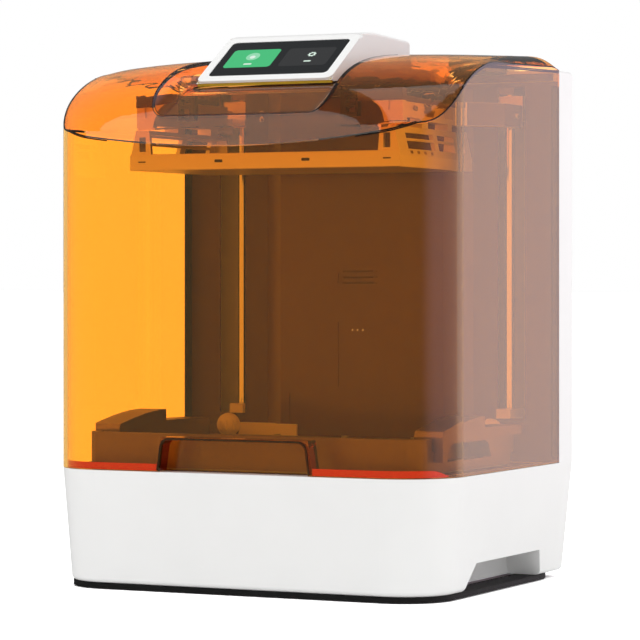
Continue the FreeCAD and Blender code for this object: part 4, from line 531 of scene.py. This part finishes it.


# Dark lines of the lid, each with its radius and how deep its middle lies under the skin. The lines round the
# bay and the grip are painted shade for the cut edges there
bead_along("bay_rim_shade_line", "lid_roof", on_bay_rim, 0.35, 0.3, "lid", PAINTED_SHADE_EDGE)
bead_along("grip_rim_shade_line", "lid_wall", on_grip_rim, 0.8, 1.5, "lid", PAINTED_SHADE_EDGE)
bead_along("seam_bead", "lid_seam_strip", on_seam, 0.52, 0.84, "lid", BLACK_RUBBER)
bead_along("shoulder_bead", "lid_wall", on_shoulder_edge, 0.52, 0.84, "lid", BLACK_RUBBER)

BROW_LEAN = 0.21
BROW_BACK = -90


def brow_lean(normal, face):
    """The brow's upright foot shades as if it leaned back a little, so that the front lamp lies on it as on
    the rest of the brow. Both skins lean alike, so that what is behind keeps its place."""
    lean = BROW_LEAN if face.normal.dot(face.center - LID_MIDDLE) > 0 else -BROW_LEAN
    if abs(normal.z) > abs(lean):
        return normal
    return Vector((normal.x, normal.y, lean)).normalized()


def lid_shell():
    """Wall, seam strip and roof of the lid as one clear shell: the faces where they meet inside are left
    out, so that light goes through the seam and only its dark bead shows."""
    spots = []
    faces = []
    normals = []
    finishes = []
    for node, finish in (("lid_wall", 0), ("lid_seam_strip", 0), ("lid_roof", 1)):
        mesh = nodes[node].data
        start = len(spots)
        spots += [vert.co.copy() for vert in mesh.vertices]
        for face in mesh.polygons:
            if face.index in SEAM[node]:
                continue
            faces.append([start + i for i in face.vertices])
            corner_normals = [mesh.corner_normals[i].vector.copy() for i in face.loop_indices]
            if node != "lid_wall" and face.center.y < BROW_BACK * MM:
                corner_normals = [brow_lean(n, face) for n in corner_normals]
            normals += corner_normals
            on_shoulder = on_roof_skin(face) and face.center.z > SHOULDER_Z * MM
            finishes.append(1 if on_shoulder else finish)
    shell = bpy.data.meshes.new("lid_shell")
    shell.from_pydata(spots, [], faces)
    shell.shade_smooth()
    shell.normals_split_custom_set(normals)
    shell.materials.append(AMBER_ACRYLIC)
    shell.materials.append(AMBER_ROOF)
    shell.polygons.foreach_set("material_index", finishes)
    piece = bpy.data.objects.new("lid_shell", shell)
    bpy.context.scene.collection.objects.link(piece)
    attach(piece, "lid")
    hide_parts("lid_wall", "lid_seam_strip", "lid_roof")


lid_shell()

# The rim strip has a painted glow along the front only: behind the front corners it slopes down and is
# painted dark as painted shade
RIM_GAP = 0.15
RIM_GROWTH = 1.7
RIM_TURN = -101.0
RIM_SLOPE = 10
RIM_LOSS = 0.8
rim = eased_copy("rim_strip_painted_glow", "lid_rim", RIM_GAP, RIM_GROWTH, "lid", PAINTED_GLOW_RED)
rim.data.materials.append(PAINTED_SHADE_EDGE)
rim_foot = min(v.co.z for v in rim.data.vertices)
for vert in rim.data.vertices:
    behind = min(1.0, max(0.0, (vert.co.y / MM - RIM_TURN) / RIM_SLOPE + 1))
    vert.co.z = rim_foot + (vert.co.z - rim_foot) * (1 - RIM_LOSS * behind)
for face in rim.data.polygons:
    face.material_index = 1 if face.center.y > RIM_TURN * MM else 0

# The grip pocket's back is clear amber, and its bent sides are painted deep red as painted shade
POCKET_BACK = 0.7
grip = eased_copy("grip_pocket", "lid_grip", RIM_GAP, 1.0, "lid", PAINTED_SHADE_RED)
grip.data.materials.append(AMBER_ACRYLIC)
for face in grip.data.polygons:
    face.material_index = 1 if abs(face.normal.y) > POCKET_BACK else 0

# Rubber along the upright rear edges of the lid, inside its walls, where it shuts against the tower
LID_INSIDE = 161.8
GASKET_CORNERS = ((91.0, 95.0), (101.0, 95.0), (101.0, 384.0), (91.0, 384.0))
GASKET_THICK = 1.4
gasket = bmesh.new()
for side in (-1, 1):
    inner_face = facing((side * LID_INSIDE, 0, 0), (-side, 0, 0))
    turn = inner_face.to_3x3().inverted()
    corners = [turn @ Vector((0, y, z)) for y, z in GASKET_CORNERS]
    plate(gasket, [(c.x, c.y) for c in corners], inner_face, 0.0, GASKET_THICK)
make_piece("lid_rear_gasket", gasket, "lid", BLACK_RUBBER)


def bar_along_x(form, profile, x0, x1):
    """A straight bar of a profile in y and z, in millimetres, from x0 to x1."""
    ends = []
    for x in (x0, x1):
        ends.append([form.verts.new(Vector((x, y, z)) * MM) for y, z in profile])
        form.faces.new(ends[-1])
    count = len(profile)
    for i in range(count):
        j = (i + 1) % count
        form.faces.new((ends[0][i], ends[0][j], ends[1][j], ends[1][i]))


# Folded facing on the front edge of the build plate, with its four slots drawn as thin black patches: painted
# shade for the slot openings
FACING_HALF = 113.4
FACING_FRONT = -84.1
FACING_PROFILE = [(FACING_FRONT, 317.1), (-83.9, 316.9), (-83.55, 316.9), (-83.55, 325.45), (-81.5, 325.45),
                  (-81.5, 328.7), (-81.8, 329.0), (-83.8, 329.0), (FACING_FRONT, 328.7)]
FACING_SLOT_Z = 323.2
FACING_SLOTS = ((-103.0, 3.2, 0.5), (-36.7, 3.4, 1.1), (36.7, 3.4, 1.1), (103.0, 3.2, 0.5))
facing_bar = bmesh.new()
bar_along_x(facing_bar, FACING_PROFILE, -FACING_HALF, FACING_HALF)
make_piece("plate_facing", facing_bar, "carriage", ALUMINIUM)
slot_shade = bmesh.new()
for x, half, tall in FACING_SLOTS:
    front = facing((x, FACING_FRONT, FACING_SLOT_Z), (0, -1, 0))
    plate(slot_shade, round_rectangle(-half, half, -tall, tall, tall * 0.6, 4), front, 0.01, 0.06)
make_piece("plate_facing_slot_shade", slot_shade, "carriage", BLACK_ABS)

# Painted sleeves round the outside of the platform arms, where they bend out to the rods, and along the rails
SLEEVE_BEND = [(131.42, 100.5), (131.42, 66.0), (111.02, 41.2), (111.46, 40.8), (132.0, 65.65),
               (132.0, 100.5)]
RAIL_STRIP = [(110.02, 39.0), (110.02, -69.5), (110.5, -69.5), (110.5, 39.0)]
SLEEVE_LOW = 352.2
RAIL_STRIP_LOW = 365.6
SLEEVE_HIGH = 369.8
UPRIGHT = Matrix.Identity(4)
sleeves = bmesh.new()
for side in (-1, 1):
    plate(sleeves, [(side * x, y) for x, y in SLEEVE_BEND], UPRIGHT, SLEEVE_LOW, SLEEVE_HIGH)
    plate(sleeves, [(side * x, y) for x, y in RAIL_STRIP], UPRIGHT, RAIL_STRIP_LOW, SLEEVE_HIGH)
make_piece("arm_sleeves", sleeves, "carriage", GREY_PAINT)

# Painted caps along the top of the gussets: a folded sheet, with a plate over its outer end
CAP_FOLD = [(-76.5, 366.0), (-76.5, 374.0), (-76.1, 374.4), (-69.9, 374.4), (-69.5, 374.0), (-69.5, 370.6),
            (-69.8, 370.6), (-69.8, 374.02), (-76.02, 374.02), (-76.02, 366.0)]
CAP_ENDS = (76.3, 112.0)
CAP_END_PLATE = [(112.02, -76.5), (112.5, -76.5), (112.5, -69.5), (112.02, -69.5)]
CAP_LOW = 366.0
CAP_HIGH = 374.4
caps = bmesh.new()
for side in (-1, 1):
    near, far = sorted(side * x for x in CAP_ENDS)
    bar_along_x(caps, CAP_FOLD, near, far)
    plate(caps, [(side * x, y) for x, y in CAP_END_PLATE], UPRIGHT, CAP_LOW, CAP_HIGH)
make_piece("gusset_caps", caps, "carriage", GREY_PAINT)

# Low bars at the foot of the column cover, in front of the ones on the panel
FOOT_BAR = [(89.9, 104.6), (90.3, 104.2), (92.6, 104.2), (92.6, 116.0), (90.3, 116.0), (89.9, 115.6)]
FOOT_BAR_ENDS = (58.5, 103.0)
foot_bars = bmesh.new()
for side in (-1, 1):
    near, far = sorted(side * x for x in FOOT_BAR_ENDS)
    bar_along_x(foot_bars, FOOT_BAR, near, far)
make_piece("cover_foot_bars", foot_bars, "frame", PALE_NYLON)

# Three shallow louvres on the column cover, over the sensor windows
LOUVRE_HEIGHTS = (230.6, 235.3, 240.0)
LOUVRE_LEFT = -17.7
LOUVRE_RIGHT = 9.4
LOUVRE_BACK = 92.75
LOUVRE_LIP = 92.1
louvres = bmesh.new()
for z in LOUVRE_HEIGHTS:
    profile = [(LOUVRE_BACK, z - 0.9), (LOUVRE_LIP, z + 0.4), (LOUVRE_LIP, z + 0.7), (LOUVRE_BACK, z + 0.7)]
    bar_along_x(louvres, profile, LOUVRE_LEFT, LOUVRE_RIGHT)
make_piece("cover_louvres", louvres, "frame", GREY_PAINT)

# Dark head plate over the top of the tower panel, up to the hinge, put there as painted shade to darken what
# shows through the roof
HEAD_SHADE_PLATE = [(100.9, 388.4), (101.6, 388.4), (101.6, 394.6), (100.9, 394.2)]
HEAD_SHADE_PLATE_HALF = 158.0
head_shade_plate = bmesh.new()
bar_along_x(head_shade_plate, HEAD_SHADE_PLATE, -HEAD_SHADE_PLATE_HALF, HEAD_SHADE_PLATE_HALF)
make_piece("tower_head_shade_plate", head_shade_plate, "frame", GREY_PAINT)

# A black flange set back under the housing, put there as painted shadow: the dark line of shade that the base
# stands on
SHADOW_FLANGE_LOW = 0.5
SHADOW_FLANGE_HIGH = 4.4
shadow_flange = bmesh.new()
outer = round_rectangle(-157, 157, -125, 125, 40, 12)
inner = round_rectangle(-136, 136, -121, 121, 30, 12)
walls = [[shadow_flange.verts.new(Vector((x, y, z)) * MM) for x, y in line] for line, z in
         ((outer, SHADOW_FLANGE_LOW), (outer, SHADOW_FLANGE_HIGH), (inner, SHADOW_FLANGE_HIGH), (inner, SHADOW_FLANGE_LOW))]
for ring, after in zip(walls, walls[1:] + walls[:1]):
    for i in range(len(outer)):
        j = (i + 1) % len(outer)
        shadow_flange.faces.new((ring[i], ring[j], after[j], after[i]))
make_piece("base_shadow_flange", shadow_flange, "frame", BLACK_RUBBER)

# Camera of the photograph: a square picture, level, seen from the right of the front
PHOTO_PIXELS = 640
FOCAL_PIXELS = 3081.54
HORIZON_ROW = 271.99
CAMERA_CHIP = 36.0
camera_data = bpy.data.cameras.new("photo_camera")
camera_data.sensor_width = CAMERA_CHIP
camera_data.lens = CAMERA_CHIP * FOCAL_PIXELS / PHOTO_PIXELS
camera_data.shift_y = -(PHOTO_PIXELS / 2 - HORIZON_ROW) / PHOTO_PIXELS
camera_data.clip_end = 100
camera = bpy.data.objects.new("photo_camera", camera_data)
camera.location = (1.06034, -2.13920, 0.23924)
camera.rotation_euler = (math.pi / 2, 0, math.atan2(0.4418, 0.8971))
bpy.context.scene.collection.objects.link(camera)
bpy.context.scene.camera = camera

# Studio: what shows through the lid is white all round. What a surface mirrors is a pale sweep at the right
# rear and dark elsewhere, so that the right wall of the lid looks veiled and its front wall reflects little
SWEEP_SIDE = (0.85, 0.53, 0.0)
SWEEP_STARTS = 0.35
SWEEP_FULL = 0.8
WHITE = (1.0, 1.0, 1.0, 1.0)
MIRROR_DARK = (0.2, 0.2, 0.2, 1.0)
# The sweep's picture is a little rose, so that the veil on the amber wall is a pinkish grey
MIRROR_ROSE = (1.26, 0.95, 1.16, 1.0)
AMBIENT = (0.8, 0.8, 0.8, 1.0)


def sweep_share(tree, source):
    """How much of the bright sweep a mirror shows, from a direction: none in front, all at the right rear."""
    side = add_node(tree, "ShaderNodeVectorMath", {"operation": "DOT_PRODUCT", 1: SWEEP_SIDE}, {0: source})
    return add_node(tree, "ShaderNodeMapRange", {"interpolation_type": "SMOOTHSTEP", "From Min": SWEEP_STARTS,
                                                 "From Max": SWEEP_FULL}, {"Value": side.outputs["Value"]})


# Floor of white paper. Close to the printer its mirror picture is plain white, and it turns rose further off
FLOOR_HALF = 30
FLOOR_DROP = 0.2
NEAR_FLOOR = 0.7
FAR_FLOOR = 1.4
PAPER_WHITE = 0.9
PAPER_SEEN = 1.7
floor_corners = [(-FLOOR_HALF, -FLOOR_HALF, 0), (FLOOR_HALF, -FLOOR_HALF, 0), (FLOOR_HALF, FLOOR_HALF, 0),
                 (-FLOOR_HALF, FLOOR_HALF, 0)]
floor_mesh = bpy.data.meshes.new("floor")
floor_mesh.from_pydata(floor_corners, [], [(0, 1, 2, 3)])
floor = bpy.data.objects.new("floor", floor_mesh)
bpy.context.scene.collection.objects.link(floor)
floor.location.z = -FLOOR_DROP * MM
paper = bpy.data.materials.new("floor_paper_sweep")
paper.use_nodes = True
sheet = paper.node_tree
sheet.nodes.clear()
path = add_node(sheet, "ShaderNodeLightPath")
spot = add_node(sheet, "ShaderNodeNewGeometry")
bearing = add_node(sheet, "ShaderNodeVectorMath", {"operation": "NORMALIZE"}, {0: spot.outputs["Position"]})
share = sweep_share(sheet, bearing.outputs["Vector"])
distance = add_node(sheet, "ShaderNodeVectorMath", {"operation": "LENGTH"}, {0: spot.outputs["Position"]})
far_off = add_node(sheet, "ShaderNodeMapRange", {"From Min": NEAR_FLOOR, "From Max": FAR_FLOOR},
                   {"Value": distance.outputs["Value"]})
bright = add_node(sheet, "ShaderNodeMix", {"data_type": "RGBA", 6: WHITE, 7: MIRROR_ROSE},
                  {0: far_off.outputs[0]})
mirror = add_node(sheet, "ShaderNodeMix", {"data_type": "RGBA", 6: MIRROR_DARK},
                  {0: share.outputs[0], 7: bright.outputs[2]})
white = add_node(sheet, "ShaderNodeMapRange", {"To Min": PAPER_WHITE, "To Max": PAPER_SEEN},
                 {"Value": path.outputs["Is Camera Ray"]})
matt = add_node(sheet, "ShaderNodeBsdfDiffuse", None, {"Color": white.outputs[0]})
glow = add_node(sheet, "ShaderNodeEmission", {"Color": WHITE})
shine = add_node(sheet, "ShaderNodeEmission", None, {"Color": mirror.outputs[2]})
seen = add_node(sheet, "ShaderNodeMixShader", None,
                {0: path.outputs["Is Glossy Ray"], 1: matt.outputs[0], 2: shine.outputs[0]})
seen = add_node(sheet, "ShaderNodeMixShader", None,
                {0: path.outputs["Is Transmission Ray"], 1: seen.outputs[0], 2: glow.outputs[0]})
add_node(sheet, "ShaderNodeOutputMaterial", None, {"Surface": seen.outputs[0]})
floor_mesh.materials.append(paper)

world = bpy.data.worlds.new("studio")
bpy.context.scene.world = world
world.use_nodes = True
sky = world.node_tree
sky.nodes.clear()
path = add_node(sky, "ShaderNodeLightPath")
place = add_node(sky, "ShaderNodeTexCoord")
share = sweep_share(sky, place.outputs["Generated"])
mirror = add_node(sky, "ShaderNodeMix", {"data_type": "RGBA", 6: MIRROR_DARK, 7: MIRROR_ROSE},
                  {0: share.outputs[0]})
level = add_node(sky, "ShaderNodeMix", {"data_type": "RGBA", 6: AMBIENT},
                 {0: path.outputs["Is Glossy Ray"], 7: mirror.outputs[2]})
level = add_node(sky, "ShaderNodeMix", {"data_type": "RGBA", 7: WHITE},
                 {0: path.outputs["Is Transmission Ray"], 6: level.outputs[2]})
level = add_node(sky, "ShaderNodeMix", {"data_type": "RGBA", 7: WHITE},
                 {0: path.outputs["Is Camera Ray"], 6: level.outputs[2]})
light = add_node(sky, "ShaderNodeBackground", None, {"Color": level.outputs[2]})
add_node(sky, "ShaderNodeOutputWorld", None, {"Surface": light.outputs[0]})


def softbox(name, place, aim, width, height, power):
    """A studio lamp with a square or oblong front, in metres, that faces a point. Its power is in watts."""
    lamp = bpy.data.lights.new(name, "AREA")
    lamp.shape = "RECTANGLE"
    lamp.size = width
    lamp.size_y = height
    lamp.energy = power
    holder = bpy.data.objects.new(name, lamp)
    holder.location = place
    holder.rotation_euler = (Vector(aim) - Vector(place)).to_track_quat("-Z", "Y").to_euler()
    bpy.context.scene.collection.objects.link(holder)
    return holder


PRINTER_MIDDLE = (0, 0, 0.2)
softbox("key_softbox", (2.2, -0.6, 1.6), PRINTER_MIDDLE, 1.2, 1.2, 13)
softbox("fill_softbox", (-1.2, -1.8, 1.6), PRINTER_MIDDLE, 1.6, 1.6, 12)
softbox("top_softbox", (0.1, -0.2, 2.4), PRINTER_MIDDLE, 1.2, 1.2, 5)
# Two upright softboxes behind, as a clear product is lit: one shines through the left wall of the lid, the
# other lies along the right wall as its reflection
through_lid = softbox("back_left_softbox", (-0.62, 1.0, 0.55), (0, 0, 0.55), 1.0, 1.1, 2.5)
through_lid.visible_glossy = False
softbox("back_right_softbox", (0.75, 1.1, 0.55), (0.1, 0, 0.55), 0.9, 1.1, 1.1)

bpy.context.scene.view_settings.view_transform = "Standard"
